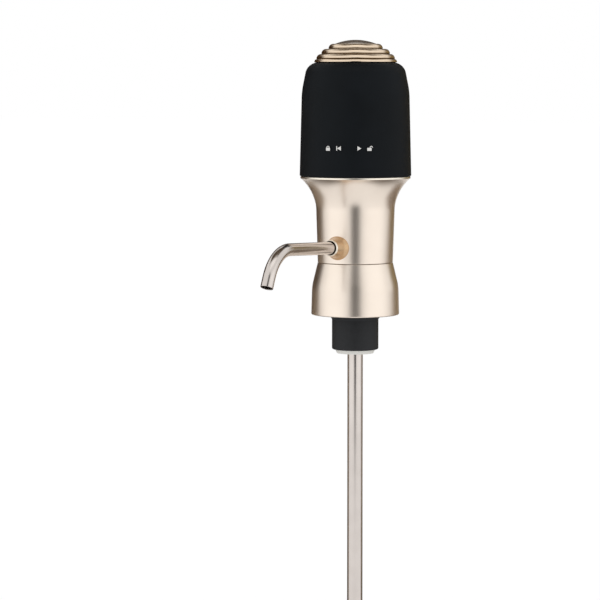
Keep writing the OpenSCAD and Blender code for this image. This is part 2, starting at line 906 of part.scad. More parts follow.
// Outline of the cover, drawn in by a wall thickness
function cover_half(wall) = [
    [cover_r - wall, z_rim + cover_gap],
    [cover_r - cover_taper - wall, z_cover - shoulder_h, 25],
    [cover_r - cover_taper - shoulder_in - wall, z_cover - wall, cover_round - wall],
    [0, z_cover - wall], [0, z_rim + cover_gap]];

module battery_cover() {
    color("#1c1d1f") difference() {
        union() {
            difference() {
                turned(cover_half(0));
                translate([0, 0, -eps]) turned(cover_half(cover_wall));
            }
            for (a = [-90, 30, 150])
                sector(cover_in + cover_wall / 5, bay_r + slip, z_lug, z_lug + lug_h,
                    a - lug_half, a + lug_half);
        }
        rod(mouth_r, z_cover_in - 1, z_cover + 1);
        ring(key_out, key_in, z_cover - key_t, z_cover + 1);
    }
}

// Radius of a bezel step, drawn in faster towards the top
function step_r(i) =
    bezel_base_r - (bezel_base_r - bezel_top_r) * pow(i / (bezel_steps - 1), 1.7);

// Foot of a bezel step; the lowest step is shorter than the others
function step_z(i) =
    z_cover + bezel_h * (i == 0 ? 0 : i - step_short) / (bezel_steps - step_short);

module button_bezel() {
    groove_in = 0.45;
    lean = 0.45;
    ridge_round = 1.6;
    mouth = button_r + 0.15;
    steps = [for (i = [0:bezel_steps - 1])
        let (r = step_r(i), z = step_z(i), top = step_z(i + 1))
        let (in = i < bezel_steps - 1 ? step_r(i + 1) - groove_in : mouth)
        let (ridge = min(ridge_round, 1.2 * (r - lean - in)))
        each [[r - groove_in, z], [r, z + groove_in], [r - lean, top, ridge]]];
    color("#d8bd8f") turned(concat(
        steps,
        [[mouth, z_bezel], [mouth, z_bezel_in], [bezel_in, z_bezel_in],
        [bezel_in, z_cover], [key_in + fit, z_cover], [key_in + fit, z_cover - key_t],
        [key_out - fit, z_cover - key_t], [key_out - fit, z_cover]]));
}

// Helix of the spring, as rings of points joined by faces
module button_spring() {
    r = button_r - 0.4;
    w = spring_wire / 2;
    z0 = z_cover + w + 0.02;
    rise = z_flange - z_cover - spring_wire - 0.04;
    n = spring_turns * 16;
    sides = 6;
    echo(spring_gap = rise / spring_turns - spring_wire);
    pts = [for (i = [0:n], j = [0:sides - 1])
        let (a = 360 * spring_turns * i / n, b = 360 * j / sides)
        [(r + w * cos(b)) * cos(a), (r + w * cos(b)) * sin(a), z0 + rise * i / n + w * sin(b)]];
    ends = [[for (j = [0:sides - 1]) j], [for (j = [sides - 1:-1:0]) n * sides + j]];
    walls = [for (i = [0:n - 1], j = [0:sides - 1])
        let (k = (j + 1) % sides)
        [i * sides + k, i * sides + j, (i + 1) * sides + j, (i + 1) * sides + k]];
    color("#c9ccd0") polyhedron(pts, concat(ends, walls));
}

module button_cap() {
    dome_r = (pow(button_r, 2) + pow(dome_rise, 2)) / (2 * dome_rise);
    apex = z_bezel + dome_rise;
    skin = 1;
    post_r = plunger_r + 0.5;
    color("#9a8f80") turned(concat(
        arc([0, apex - dome_r], dome_r, 90, 90 - asin(button_r / dome_r)),
        [[button_r, z_bezel_in - button_stop], [flange_r, z_bezel_in - button_stop],
        [flange_r, z_flange], [button_r - skin, z_flange], [button_r - skin, z_bezel - skin],
        [post_r, z_bezel - skin], [post_r, z_plunger + fit], [0, z_plunger + fit]]));
}

lower_collar();
neck_shell();
spout_socket();
spout_seal();
spout_tube();
bottle_stopper();
wine_manifold();
check_valve();
air_inlet();
air_hose();
dip_tube_upper();
dip_tube_guide();
dip_tube_lower();
dip_tube_foot();
pump_cradle();
pump_head();
pump_diaphragm();
pump_valve_cap();
pump_eccentric();
motor_can();
motor_magnets();
motor_armature();
motor_end_cap();
motor_terminals();
motor_leads();
battery_tray();
tray_screws();
lower_contacts();
upper_contacts();
for (i = [0:cell_count - 1])
    battery_cell(i);
switch_board();
switch_body();
switch_plunger();
battery_cover();
button_bezel();
button_spring();
button_cap();
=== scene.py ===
# %% [markdown]
# # Dressing an electric wine aerator
# The construction is already settled: every piece has its size, its place and its joint, and the
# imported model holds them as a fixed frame. This lesson adds the looks. Round shells are turned
# again as smooth meshes, each finish is built from nodes, and a camera and a small studio show it.
# The frame comes first, because every new piece takes its place from it.

# %% Load the frame
import math

import bmesh
import bpy
from mathutils import Matrix, Vector


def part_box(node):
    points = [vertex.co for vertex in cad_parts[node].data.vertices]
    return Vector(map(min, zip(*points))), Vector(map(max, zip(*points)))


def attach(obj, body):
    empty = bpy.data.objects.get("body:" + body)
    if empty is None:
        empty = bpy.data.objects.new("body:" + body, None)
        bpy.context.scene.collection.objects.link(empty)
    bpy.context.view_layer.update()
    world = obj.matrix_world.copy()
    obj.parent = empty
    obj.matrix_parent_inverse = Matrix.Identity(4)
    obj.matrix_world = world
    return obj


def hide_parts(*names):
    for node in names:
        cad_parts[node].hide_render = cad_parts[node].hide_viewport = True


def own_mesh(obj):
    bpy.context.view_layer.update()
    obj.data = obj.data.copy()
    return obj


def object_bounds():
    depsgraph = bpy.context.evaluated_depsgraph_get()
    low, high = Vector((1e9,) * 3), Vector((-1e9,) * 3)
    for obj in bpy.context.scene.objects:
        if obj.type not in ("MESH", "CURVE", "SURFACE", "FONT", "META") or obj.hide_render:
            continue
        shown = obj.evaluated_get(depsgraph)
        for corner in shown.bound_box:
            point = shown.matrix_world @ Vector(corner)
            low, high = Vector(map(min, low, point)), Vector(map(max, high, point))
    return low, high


MM = 0.001

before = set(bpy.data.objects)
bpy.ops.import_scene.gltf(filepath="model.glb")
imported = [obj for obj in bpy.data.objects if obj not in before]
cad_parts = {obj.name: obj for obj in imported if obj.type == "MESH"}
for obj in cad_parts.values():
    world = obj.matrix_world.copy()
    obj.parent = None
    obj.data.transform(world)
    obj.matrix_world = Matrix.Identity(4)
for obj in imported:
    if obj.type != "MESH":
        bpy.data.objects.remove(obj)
for starter in ("Cube", "Light", "Camera"):
    if starter in bpy.data.objects:
        bpy.data.objects.remove(bpy.data.objects[starter])
cad_low, cad_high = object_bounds()
print("box in mm:", [round(side / MM, 1) for side in cad_high - cad_low])

# %% [markdown]
# ## The camera
# A product portrait is taken with a long lens from about a metre away, a little above the middle,
# so that upright lines stay upright. The camera stands 28 degrees round from the spout, looks
# slightly down, and is turned a touch to its left, which puts the aerator right of the middle. A
# lens shift could do the same, but turning the camera keeps the other views centred.

# %% Place the camera
# Metres and radians, apart from the lens.
CAMERA_TURN = math.radians(28)
CAMERA_AWAY = 1.013
CAMERA_HEIGHT = 0.07685
LOOK_DOWN = 0.0821
LOOK_LEFT = 0.0211
LENS_MM = 157.6
SENSOR_MM = 36
SIGHT = 50

bpy.ops.object.camera_add(
    location=(CAMERA_AWAY * math.sin(CAMERA_TURN), -CAMERA_AWAY * math.cos(CAMERA_TURN),
              CAMERA_HEIGHT),
    rotation=(math.pi / 2 - LOOK_DOWN, 0, CAMERA_TURN + LOOK_LEFT))
camera = bpy.context.object
camera.name = "portrait_camera"
camera.data.lens = LENS_MM
camera.data.sensor_width = SENSOR_MM
camera.data.clip_end = SIGHT
bpy.context.scene.camera = camera
bpy.context.scene.view_settings.view_transform = "Standard"
print("camera at", [round(x, 3) for x in camera.location])

# %% [markdown]
# ## Nodes and colours
# Colours are picked as sRGB hex values, the way a paint chart lists them, but a renderer adds up
# light and needs linear numbers. One function converts them. Another adds a node, fills in its
# settings and links its sockets, so each finish below reads as a short list of layers.

# %% Helpers for nodes
def linear(code):
    """Turn an sRGB hex colour into the linear colour that a shader needs."""
    parts = [int(code[i:i + 2], 16) / 255 for i in (1, 3, 5)]
    return [p / 12.92 if p <= 0.04045 else ((p + 0.055) / 1.055) ** 2.4 for p in parts] + [1]


def add_node(tree, kind, feeds=None, onward=None, **settings):
    """Add a node, set its properties, feed its sockets with values or links, and link it on."""
    node = tree.nodes.new(kind)
    for name, value in settings.items():
        setattr(node, name, value)
    for name, value in (feeds or {}).items():
        if isinstance(value, bpy.types.NodeSocket):
            tree.links.new(value, node.inputs[name])
        else:
            node.inputs[name].default_value = value
    for name, socket in (onward or {}).items():
        tree.links.new(node.outputs[name], socket)
    return node


def bare_tree(owner):
    """Switch on the nodes of a material or a world, and clear what is there."""
    owner.use_nodes = True
    owner.node_tree.nodes.clear()
    return owner.node_tree


print("white is", linear("#ffffff"), "and middle grey", [round(x, 3) for x in linear("#808080")])

# %% [markdown]
# ## A small studio
# A catalogue picture has a plain white ground. A white world gives that: it is white where the
# camera, a reflection or a see-through piece sees it, and softer where it only lights a surface.
# The floor is a pale sheet far enough down for the dip tube to pull out. Near the part it stays
# just below white, so that it keeps the soft shadow, and it gets lighter until it meets the
# ground. A stronger lamp on the floor would make it white too, but it would also bleach the metal.

# %% Light the world
SURROUND = 0.86


def seen_directly(tree):
    """1 where the camera, a mirror or a clear piece looks, and 0 where a surface is only lit."""
    rays = add_node(tree, "ShaderNodeLightPath").outputs
    first = add_node(tree, "ShaderNodeMath", {0: rays["Is Camera Ray"], 1: rays["Is Glossy Ray"]},
                     operation="MAXIMUM").outputs["Value"]
    return add_node(tree, "ShaderNodeMath", {0: first, 1: rays["Is Transmission Ray"]},
                    operation="MAXIMUM").outputs["Value"]


world = bpy.data.worlds.new("white_studio")
bpy.context.scene.world = world
tree = bare_tree(world)
white = linear("#ffffff")
ambient = add_node(tree, "ShaderNodeBackground", {"Color": white, "Strength": SURROUND})
ground = add_node(tree, "ShaderNodeBackground", {"Color": white, "Strength": 1})
mixed = add_node(tree, "ShaderNodeMixShader", {"Fac": seen_directly(tree),
                                               1: ambient.outputs["Background"],
                                               2: ground.outputs["Background"]})
add_node(tree, "ShaderNodeOutputWorld", {"Surface": mixed.outputs["Shader"]})
print("the world lights the part at", SURROUND, "of white")

# %% Lay the floor
FLOOR_DROP = 0.115
FLOOR_SIDE = 40
GLOW_NEAR, GLOW_FAR = 0.245, 0.31
NEAR, FAR = 0.3, 0.9

bpy.ops.object.select_all(action="DESELECT")
bpy.ops.mesh.primitive_plane_add(size=FLOOR_SIDE, location=(0, 0, cad_low.z - FLOOR_DROP))
floor = bpy.context.object
floor.name = "studio_floor"
# Matt white paper: no shine at all, and see-through from below, for views from under the part.
paper = bpy.data.materials.new("matt_white_paper")
tree = bare_tree(paper)
matt = add_node(tree, "ShaderNodeBsdfDiffuse", {"Color": linear("#e8e8e9")})
spot = add_node(tree, "ShaderNodeTexCoord").outputs["Object"]
away = add_node(tree, "ShaderNodeVectorMath", {0: spot}, operation="LENGTH")
lift = add_node(tree, "ShaderNodeMapRange",
                {"Value": away.outputs["Value"], "From Min": NEAR, "From Max": FAR,
                 "To Min": GLOW_NEAR, "To Max": GLOW_FAR}, interpolation_type="SMOOTHSTEP")
level = add_node(tree, "ShaderNodeMath", {0: seen_directly(tree), 1: lift.outputs["Result"]},
                 operation="MULTIPLY")
glow = add_node(tree, "ShaderNodeEmission", {"Color": white, "Strength": level.outputs["Value"]})
sheet = add_node(tree, "ShaderNodeAddShader", {0: matt.outputs["BSDF"],
                                               1: glow.outputs["Emission"]})
below = add_node(tree, "ShaderNodeNewGeometry").outputs["Backfacing"]
clear = add_node(tree, "ShaderNodeBsdfTransparent").outputs["BSDF"]
sides = add_node(tree, "ShaderNodeMixShader", {"Fac": below, 1: sheet.outputs["Shader"], 2: clear})
add_node(tree, "ShaderNodeOutputMaterial", {"Surface": sides.outputs["Shader"]})
floor.data.materials.append(paper)
print("floor at", round(floor.location.z, 3), "m")

# %% [markdown]
# ## Softboxes and flags
# Polished and satin metal shows what stands round it. So two broad softboxes make the bright
# panels and a third lights the top. Dark cloths, which photographers call flags, make the dark
# edges, the dark line in the middle and the shade under the rim. Painting these onto the metal
# would be quicker, but they would stay where they are when the camera moves. The flags show in
# reflections alone, and they thin out towards their edges, so that the shade ends softly.

# %% Hang the softboxes
STUDIO_MIDDLE = Vector((0, 0, 0.045))


def round_object(turn, rise, away):
    """A point round the object: turn counts from the camera to its right, rise from level."""
    heading = CAMERA_TURN + math.radians(turn)
    level = away * math.cos(math.radians(rise))
    place = Vector((level * math.sin(heading), -level * math.cos(heading),
                    away * math.sin(math.radians(rise))))
    return STUDIO_MIDDLE + place


def facing(place):
    """Rotation that turns a panel's front towards the middle of the studio."""
    return (STUDIO_MIDDLE - place).to_track_quat("-Z", "Y").to_euler()


def softbox(name, turn, rise, away, width, height, radiance):
    """A rectangular lamp. Its watts follow from its size and from how bright its front looks."""
    place = round_object(turn, rise, away)
    bpy.ops.object.light_add(type="AREA", location=place, rotation=facing(place))
    lamp = bpy.context.object
    lamp.name = name
    lamp.data.shape = "RECTANGLE"
    lamp.data.size = width
    lamp.data.size_y = height
    lamp.data.energy = radiance * math.pi * width * height
    lamp.visible_camera = False
    print(name, "gives", round(lamp.data.energy, 2), "W")


# Name, turn and rise in degrees, distance, width and height in metres, radiance.
softbox("softbox_left", -58, 6, 0.8, 0.9, 0.6, 0.21)
softbox("softbox_right", 58, 6, 0.8, 0.9, 0.6, 0.21)
softbox("softbox_top", 20, 72, 0.8, 0.6, 0.6, 0.3)

# %% Hang the flags
PANEL_EDGE = 0.5


def flag(name, turn, rise, away, width, height, shade, fade):
    """A matt cloth that shows in reflections only, and thins out over this share of its sides."""
    place = round_object(turn, rise, away)
    bpy.ops.object.select_all(action="DESELECT")
    bpy.ops.mesh.primitive_plane_add(size=2 * PANEL_EDGE, location=place, rotation=facing(place))
    panel = bpy.context.object
    panel.name = name
    panel.scale = (width, height, 1)
    cloth = bpy.data.materials.new(name + "_cloth")
    tree = bare_tree(cloth)
    spot = add_node(tree, "ShaderNodeTexCoord").outputs["Object"]
    ways = add_node(tree, "ShaderNodeSeparateXYZ", {"Vector": spot}).outputs
    thin = []
    for way in ("X", "Y"):
        out = add_node(tree, "ShaderNodeMath", {0: ways[way]}, operation="ABSOLUTE")
        thin.append(add_node(tree, "ShaderNodeMapRange",
                             {"Value": out.outputs["Value"], "From Min": PANEL_EDGE - fade,
                              "From Max": PANEL_EDGE, "To Min": 1, "To Max": 0},
                             interpolation_type="SMOOTHSTEP").outputs["Result"])
    dense = add_node(tree, "ShaderNodeMath", {0: thin[0], 1: thin[1]}, operation="MULTIPLY")
    matt = add_node(tree, "ShaderNodeBsdfDiffuse", {"Color": linear(shade)})
    clear = add_node(tree, "ShaderNodeBsdfTransparent")
    weave = add_node(tree, "ShaderNodeMixShader",
                     {"Fac": dense.outputs["Value"], 1: clear.outputs["BSDF"],
                      2: matt.outputs["BSDF"]})
    add_node(tree, "ShaderNodeOutputMaterial", {"Surface": weave.outputs["Shader"]})
    panel.data.materials.append(cloth)
    panel.visible_camera = False
    panel.visible_diffuse = False
    panel.visible_transmission = False
    panel.visible_shadow = False
    print(name, "hung at", [round(x, 2) for x in panel.location])


# Name, turn and rise in degrees, distance, width and height in metres, shade, soft share.
flag("flag_middle", 0, 0, 0.25, 0.145, 0.34, "#14120f", 0.22)
flag("flag_left", -138, 0, 0.7, 0.8, 0.9, "#3f2a10", 0.14)
flag("flag_right", 138, 0, 0.7, 0.7, 0.9, "#8c784c", 0.25)
flag("flag_behind", 180, 18, 0.8, 1.4, 0.8, "#786f66", 0.13)
flag("flag_above", 180, 78, 0.8, 1.2, 0.8, "#6a5c4c", 0.15)
flag("flag_low_left", -128, -22, 0.5, 0.6, 0.36, "#8c7c6a", 0.3)
flag("flag_low_right", 128, -22, 0.5, 0.6, 0.36, "#8c7c6c", 0.3)
flag("flag_below", 180, -64, 0.24, 0.5, 0.3, "#5c5043", 0.3)

# %% [markdown]
# ## Turning on a lathe
# Almost every shell here is round, and a maker would spin or turn it. So each is drawn as half an
# outline: one vertex is extruded from corner to corner, the corners that are round on the real
# piece are bevelled, and the line is spun once round its axis. Merging the seam and turning the
# normals outwards makes it a closed solid. Weighted normals keep flat bands flat beside fillets.
# From here on, lengths are in millimetres.

# %% Helpers that measure and select
SAME_HEIGHT = 0.04
SAME_SPOT = 0.001


def box_mm(node):
    """Lowest and highest corner of a CAD node, in millimetres."""
    low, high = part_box(node)
    return low / MM, high / MM


def from_axis(spot):
    """Distance of a point from the upright axis, in millimetres."""
    return math.hypot(spot.x, spot.y) / MM


def reach(node, height):
    """Largest distance from the axis among a CAD node's vertices near a height, in millimetres."""
    spots = [vertex.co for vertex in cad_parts[node].data.vertices]
    return max(from_axis(spot) for spot in spots if abs(spot.z / MM - height) < SAME_HEIGHT)


def select_spots(piece, spots):
    """In edit mode, select only the vertices that lie at these places."""
    bpy.ops.mesh.select_mode(type="VERT")
    bpy.ops.mesh.select_all(action="DESELECT")
    mesh = bmesh.from_edit_mesh(piece.data)
    for vertex in mesh.verts:
        vertex.select_set(any((vertex.co - spot).length < SAME_SPOT * MM for spot in spots))
    mesh.select_flush(True)
    bmesh.update_edit_mesh(piece.data)


seam_z = box_mm("neck_shell")[0].z
print("the seam between collar and neck is at", round(seam_z, 2), "mm")

# %% Helpers that draw and spin an outline
UP = Vector((0, 0, 1))
OUT = Vector((1, 0, 0))
MERGE = 0.0002
ARC_STEP = 4
FEWEST_STEPS = 3
LATHE_STEPS = 160


def draw_outline(name, corners, centre, axis, side, closed):
    """Extrude a vertex through corners of (radius, height) or (radius, height, round) in mm."""
    spots = [centre + (side * corner[0] + axis * corner[1]) * MM for corner in corners]
    bpy.ops.object.select_all(action="DESELECT")
    bpy.ops.mesh.primitive_plane_add(size=MM)
    piece = bpy.context.object
    piece.name = name
    bpy.ops.object.mode_set(mode="EDIT")
    bpy.ops.mesh.merge(type="CENTER")
    bpy.ops.transform.translate(value=spots[0])
    for here, there in zip(spots, spots[1:]):
        bpy.ops.mesh.extrude_region_move(TRANSFORM_OT_translate={"value": there - here})
    if closed:
        select_spots(piece, [spots[0], spots[-1]])
        bpy.ops.mesh.edge_face_add()
    for i, corner in enumerate(corners):
        if len(corner) == 3:
            before = spots[i - 1] - spots[i]
            after = spots[(i + 1) % len(spots)] - spots[i]
            bend = math.pi - before.angle(after)
            select_spots(piece, [spots[i]])
            count = max(FEWEST_STEPS, math.ceil(math.degrees(bend) / ARC_STEP))
            bpy.ops.mesh.bevel(affect="VERTICES", offset_type="ABSOLUTE", segments=count,
                               offset=corner[2] * MM * math.tan(bend / 2))
    return piece


def close_up():
    """In edit mode, merge doubles, turn the faces outwards and leave edit mode."""
    bpy.ops.mesh.select_all(action="SELECT")
    bpy.ops.mesh.remove_doubles(threshold=MERGE * MM)
    bpy.ops.mesh.normals_make_consistent(inside=False)
    bpy.ops.object.mode_set(mode="OBJECT")


def turn_piece(name, corners, centre=Vector(), axis=UP, side=OUT, closed=True, steps=LATHE_STEPS):
    """Draw an outline and spin it once round its axis."""
    piece = draw_outline(name, corners, centre, axis, side, closed)
    bpy.ops.mesh.select_all(action="SELECT")
    bpy.ops.mesh.spin(steps=steps, angle=2 * math.pi, center=centre, axis=axis)
    close_up()
    return piece


print("a round corner gets a point every", ARC_STEP, "degrees")

# %% Helpers that finish a mesh
SHARP_FROM = math.radians(30)


def make_active(piece):
    """Select one piece alone and make it the active one."""
    bpy.ops.object.select_all(action="DESELECT")
    piece.select_set(True)
    bpy.context.view_layer.objects.active = piece


def modify(piece, kind, **settings):
    """Add a modifier with its settings and apply it."""
    make_active(piece)
    bpy.ops.object.modifier_add(type=kind)
    modifier = piece.modifiers[-1]
    for name, value in settings.items():
        setattr(modifier, name, value)
    bpy.ops.object.modifier_apply(modifier=modifier.name)


def smooth(piece):
    """Shade a piece smoothly between its sharp edges."""
    make_active(piece)
    bpy.ops.object.shade_smooth_by_angle(angle=SHARP_FROM)
    modify(piece, "WEIGHTED_NORMAL", keep_sharp=True)
    print(piece.name, "has", len(piece.data.polygons), "faces")


def seat(piece, body, slot, *nodes):
    """Let a finished piece ride on its body in place of CAD nodes. The slot is not used."""
    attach(piece, body)
    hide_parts(*nodes)


print("edges stay sharp from", round(math.degrees(SHARP_FROM)), "degrees")

# %% [markdown]
# ## The collar
# The lowest gold piece is spun aluminium. Its skirt hangs down round the plug, and a soft waist
# draws it in to the seam below the neck. A cylinder scaled ring by ring would do, but an outline
# with rounded corners gives the waist and the rolled lower edge in one go.

# %% Turn the collar
FINE_EDGE = 0.1
FOOT_ROUND = 0.5
LEAD_IN = 0.3
SEAM_IN = 0.4
SEAM_H = 0.15
SKIRT_DRAW = 0.32
WAIST_Z = -1
WAIST_ROUND = 16
LIP_GAP_R = 15.3
FLANGE_T = 1.5
WEB_TOP = 4
SLEEVE_R = 7.05
TENON_WALL = 1.2

collar_low, collar_high = box_mm("lower_collar")
foot_r = reach("neck_shell", seam_z + SEAM_H)
skirt_r = collar_high.x
tenon_r = reach("lower_collar", collar_high.z)
tenon_in = tenon_r - TENON_WALL
collar = turn_piece("spun_collar", [
    (LIP_GAP_R + LEAD_IN, collar_low.z), (skirt_r, collar_low.z, FOOT_ROUND),
    (skirt_r - SKIRT_DRAW, WAIST_Z, WAIST_ROUND), (foot_r, seam_z - SEAM_H, FINE_EDGE),
    (foot_r - SEAM_IN, seam_z), (tenon_r, seam_z), (tenon_r, collar_high.z),
    (tenon_in, collar_high.z), (tenon_in, WEB_TOP), (SLEEVE_R, WEB_TOP),
    (SLEEVE_R, FLANGE_T), (LIP_GAP_R, FLANGE_T), (LIP_GAP_R, collar_low.z + LEAD_IN)])
smooth(collar)
seat(collar, "base", "champagne_gold", "lower_collar")

# %% [markdown]
# ## The neck
# The neck holds the pump, and flares out to carry the battery housing. The flare is one large arc:
# a corner of the outline with a round of that radius. A curve with handles could draw it too, but
# a radius is what a drawing would state. Short steps below the flare leave small faces where the
# hole for the spout's socket is drilled, so the cut stays hidden under the socket's foot.

# %% Turn the neck
NECK_WALL = 1.5
NECK_TAPER = 0.6
NECK_BANDS = 24
FLARE_ANGLE = math.radians(53)
FLARE_FIT = 0.999   # keeps the arc's ends just inside the two sides of its corner
INNER_HEIGHTS = (38.5, 36)
RIM_H = 0.8
RIM_ROUND = 0.3
LEDGE_Z = 33.45

neck_high = box_mm("neck_shell")[1]
rim_r = neck_high.x
neck_r = foot_r + NECK_TAPER
bore_r = foot_r - NECK_WALL
flare_r = (rim_r - neck_r) / (1 - math.cos(FLARE_ANGLE))
flare_z = neck_high.z - RIM_H - flare_r * math.sin(FLARE_ANGLE)
flare_corner = flare_z + flare_r * math.tan(FLARE_ANGLE / 2)


def between(start, end, count):
    """Points that divide a straight stretch of an outline."""
    return [tuple(a + (b - a) * i / count for a, b in zip(start, end)) for i in range(1, count)]


def inner_flare(height):
    """Radius of the flare's inside at a height."""
    return neck_r + flare_r - math.sqrt((flare_r + NECK_WALL) ** 2 - (height - flare_z) ** 2)


neck_foot = (foot_r, seam_z + SEAM_H)
neck_top = (neck_r, flare_z)
neck = turn_piece("flared_neck", [
    (foot_r - SEAM_IN, seam_z), (*neck_foot, FINE_EDGE),
    *between(neck_foot, neck_top, NECK_BANDS), neck_top,
    (neck_r, flare_corner, flare_r * FLARE_FIT), (rim_r, neck_high.z - RIM_H, FINE_EDGE),
    (rim_r, neck_high.z, RIM_ROUND), (inner_flare(neck_high.z), neck_high.z),
    *[(inner_flare(z), z) for z in INNER_HEIGHTS], (inner_flare(LEDGE_Z), LEDGE_Z),
    (bore_r, LEDGE_Z), (bore_r, seam_z)])
print("the flare is an arc of", round(flare_r, 2), "mm")

# %% Drill the neck for the spout
SPOUT_RISE = math.radians(2)
SPIGOT_R = 3.6
DRILL_GAP = 0.05
DRILL_DEPTH = 8
DRILL_SIDES = 96
SLIVER = 0.002


def edit_all():
    """Enter edit mode with everything selected."""
    bpy.ops.object.mode_set(mode="EDIT")
    bpy.ops.mesh.select_all(action="SELECT")


def cut_away(piece, cutter):
    """Cut one solid out of another, and dissolve the slivers that the cut leaves."""
    modify(piece, "BOOLEAN", object=cutter, operation="DIFFERENCE", solver="EXACT")
    bpy.data.objects.remove(cutter)
    edit_all()
    bpy.ops.mesh.dissolve_degenerate(threshold=SLIVER * MM)
    bpy.ops.object.mode_set(mode="OBJECT")


seal_y = sum(corner.y for corner in box_mm("spout_seal")) / 2
seal_z = sum(corner.z for corner in box_mm("spout_seal")) / 2
along = Vector((0, -math.cos(SPOUT_RISE), math.sin(SPOUT_RISE)))
across = Vector((0, math.sin(SPOUT_RISE), math.cos(SPOUT_RISE)))
spout_root = Vector((0, 0, seal_z + seal_y * math.tan(SPOUT_RISE))) * MM
square_to_spout = (math.pi / 2 - SPOUT_RISE, 0, 0)
bpy.ops.object.select_all(action="DESELECT")
bpy.ops.mesh.primitive_cylinder_add(
    vertices=DRILL_SIDES, radius=(SPIGOT_R + DRILL_GAP) * MM, depth=DRILL_DEPTH * MM,
    location=spout_root + along * foot_r * MM, rotation=square_to_spout)
cut_away(neck, bpy.context.object)
smooth(neck)
seat(neck, "base", "champagne_gold", "neck_shell")
print("spout axis leaves the middle at", round(spout_root.z / MM, 2), "mm")

# %% [markdown]
# ## Bead-blasted champagne aluminium
# Collar and neck are aluminium, blasted with fine beads and anodised in a pale champagne gold.
# Blasting leaves tiny pits, which spread a reflection without dulling it. A plain roughness would
# look like plastic film, so a fine noise drives the roughness and the bump, and a slow one lets
# the dye drift. The pits are about 0.1 mm across, too fine for this picture, so they are drawn
# three times coarser.

# %% Helpers for finishes
MIX_A, MIX_B, MIX_OUT = 6, 7, 2   # the colour sockets of a mix node


def start_material(name, **values):
    """Make a material with one principled shader; return it, its tree, sockets and place."""
    material = bpy.data.materials.new(name)
    material.use_nodes = True
    tree = material.node_tree
    sockets = tree.nodes["Principled BSDF"].inputs
    for socket, value in values.items():
        sockets[socket.replace("_", " ")].default_value = value
    place = add_node(tree, "ShaderNodeTexCoord").outputs["Object"]
    return material, tree, sockets, place


def grains(size_mm):
    """Texture scale at which one grain of a pattern is that many millimetres."""
    return 1 / (size_mm * MM)


def drift(tree, sockets, tint, shades, gloss, rough):
    """Let a pattern drift the colour between two shades, and another drift the roughness."""
    add_node(tree, "ShaderNodeMix", {0: tint.outputs["Fac"], MIX_A: linear(shades[0]),
                                     MIX_B: linear(shades[1])},
             {MIX_OUT: sockets["Base Color"]}, data_type="RGBA")
    add_node(tree, "ShaderNodeMapRange", {"Value": gloss.outputs["Fac"], "To Min": rough[0],
                                          "To Max": rough[1]}, {"Result": sockets["Roughness"]})


def dress(piece, material):
    """Give a piece or a CAD node one finish all over."""
    if not piece.material_slots:
        piece.data.materials.append(material)
    for slot in piece.material_slots:
        slot.material = material
    print(piece.name, "wears", material.name)


print("a grain of 0.3 mm needs a scale of", round(grains(0.3)))

# %% Finish the collar and the neck
# Metal with a soft, silky spread of light and a warm pale tint.
champagne, tree, sockets, place = start_material("blasted_champagne_aluminium", Metallic=1)
pits = add_node(tree, "ShaderNodeTexNoise", {"Vector": place, "Scale": grains(0.3), "Detail": 3})
dye = add_node(tree, "ShaderNodeTexNoise", {"Vector": place, "Scale": grains(9), "Detail": 2})
drift(tree, sockets, dye, ("#e8dbcd", "#f0e4d7"), pits, rough=(0.26, 0.35))
add_node(tree, "ShaderNodeBump", {"Height": pits.outputs["Fac"], "Distance": 0.004 * MM,
                                  "Strength": 0.2}, {"Normal": sockets["Normal"]})
for piece in (collar, neck):
    dress(piece, champagne)

# %% [markdown]
# ## The bright-cut rim
# After anodising, a sharp tool takes one more cut off the neck's upper edge, which leaves bright
# bare metal. A separate ring could carry that finish, but the rim is no piece of its own, so its
# faces get a second material. The tool's rings are a few hundredths of a millimetre apart, far too
# fine to show, so they are drawn as one soft band of about 1.6 mm.

# %% Finish the rim
RING_MM = 1.57
RIM_SLACK = 0.05
WAVE_PHASE = 20


def waves(band_mm):
    """Scale at which a wave texture, 20 radians to the unit, has bands of that width in mm."""
    return 2 * math.pi / WAVE_PHASE * grains(band_mm)


def repaint(piece, material, chosen):
    """Give the faces that a test chooses a second finish."""
    piece.data.materials.append(material)
    faces = [face for face in piece.data.polygons if chosen(face)]
    for face in faces:
        face.material_index = 1
    print(piece.name, "wears", material.name, "on", len(faces), "faces")


def on_rim(face):
    """True for the outer faces of the neck's last stretch."""
    return (face.center.z / MM > neck_high.z - RIM_H - RIM_SLACK
            and from_axis(face.center) > rim_r - 2 * RIM_ROUND)


# Bare aluminium: paler and brighter than the anodised metal next to it.
bright_cut, tree, sockets, place = start_material("bright_cut_aluminium", Metallic=1)
rings = add_node(tree, "ShaderNodeTexWave", {"Vector": place, "Scale": waves(RING_MM),
                                             "Distortion": 0.4}, bands_direction="Z")
drift(tree, sockets, rings, ("#efe7d8", "#f6efe2"), rings, rough=(0.3, 0.4))
repaint(neck, bright_cut, on_rim)

# %% [markdown]
# ## The spout's socket
# A short gold cone holds the spout. On the real part it is turned from brass and pressed through
# the neck. Its foot swells into the neck with a small fillet, and its mouth is a thin lip, so a
# dark gap shows round the tube. The foot is trimmed to the neck's curve with a boolean, which
# leaves no overlap, where a cone pushed into the wall would only look right from outside.

# %% Turn the socket and trim its foot
SOCKET_OUT = 6.1
SOCKET_LIP = 0.25
SOCKET_TAPER = 1.1
SOCKET_STEPS = 96
FILLET = 0.6
MOUTH_EDGE = 0.3
MOUTH_ROUND = 0.2
LIP_ROUND = 0.08
BRIGHT_LIP = 0.8
SEAL_BORE = 2.75
SEAL_SEAT = 2.2
RUN_FIT_R = 2.45
TUBE_STOP = 0.8
FLOW_R = 2
CORE_WALL = 1
CORE_STEPS = 192

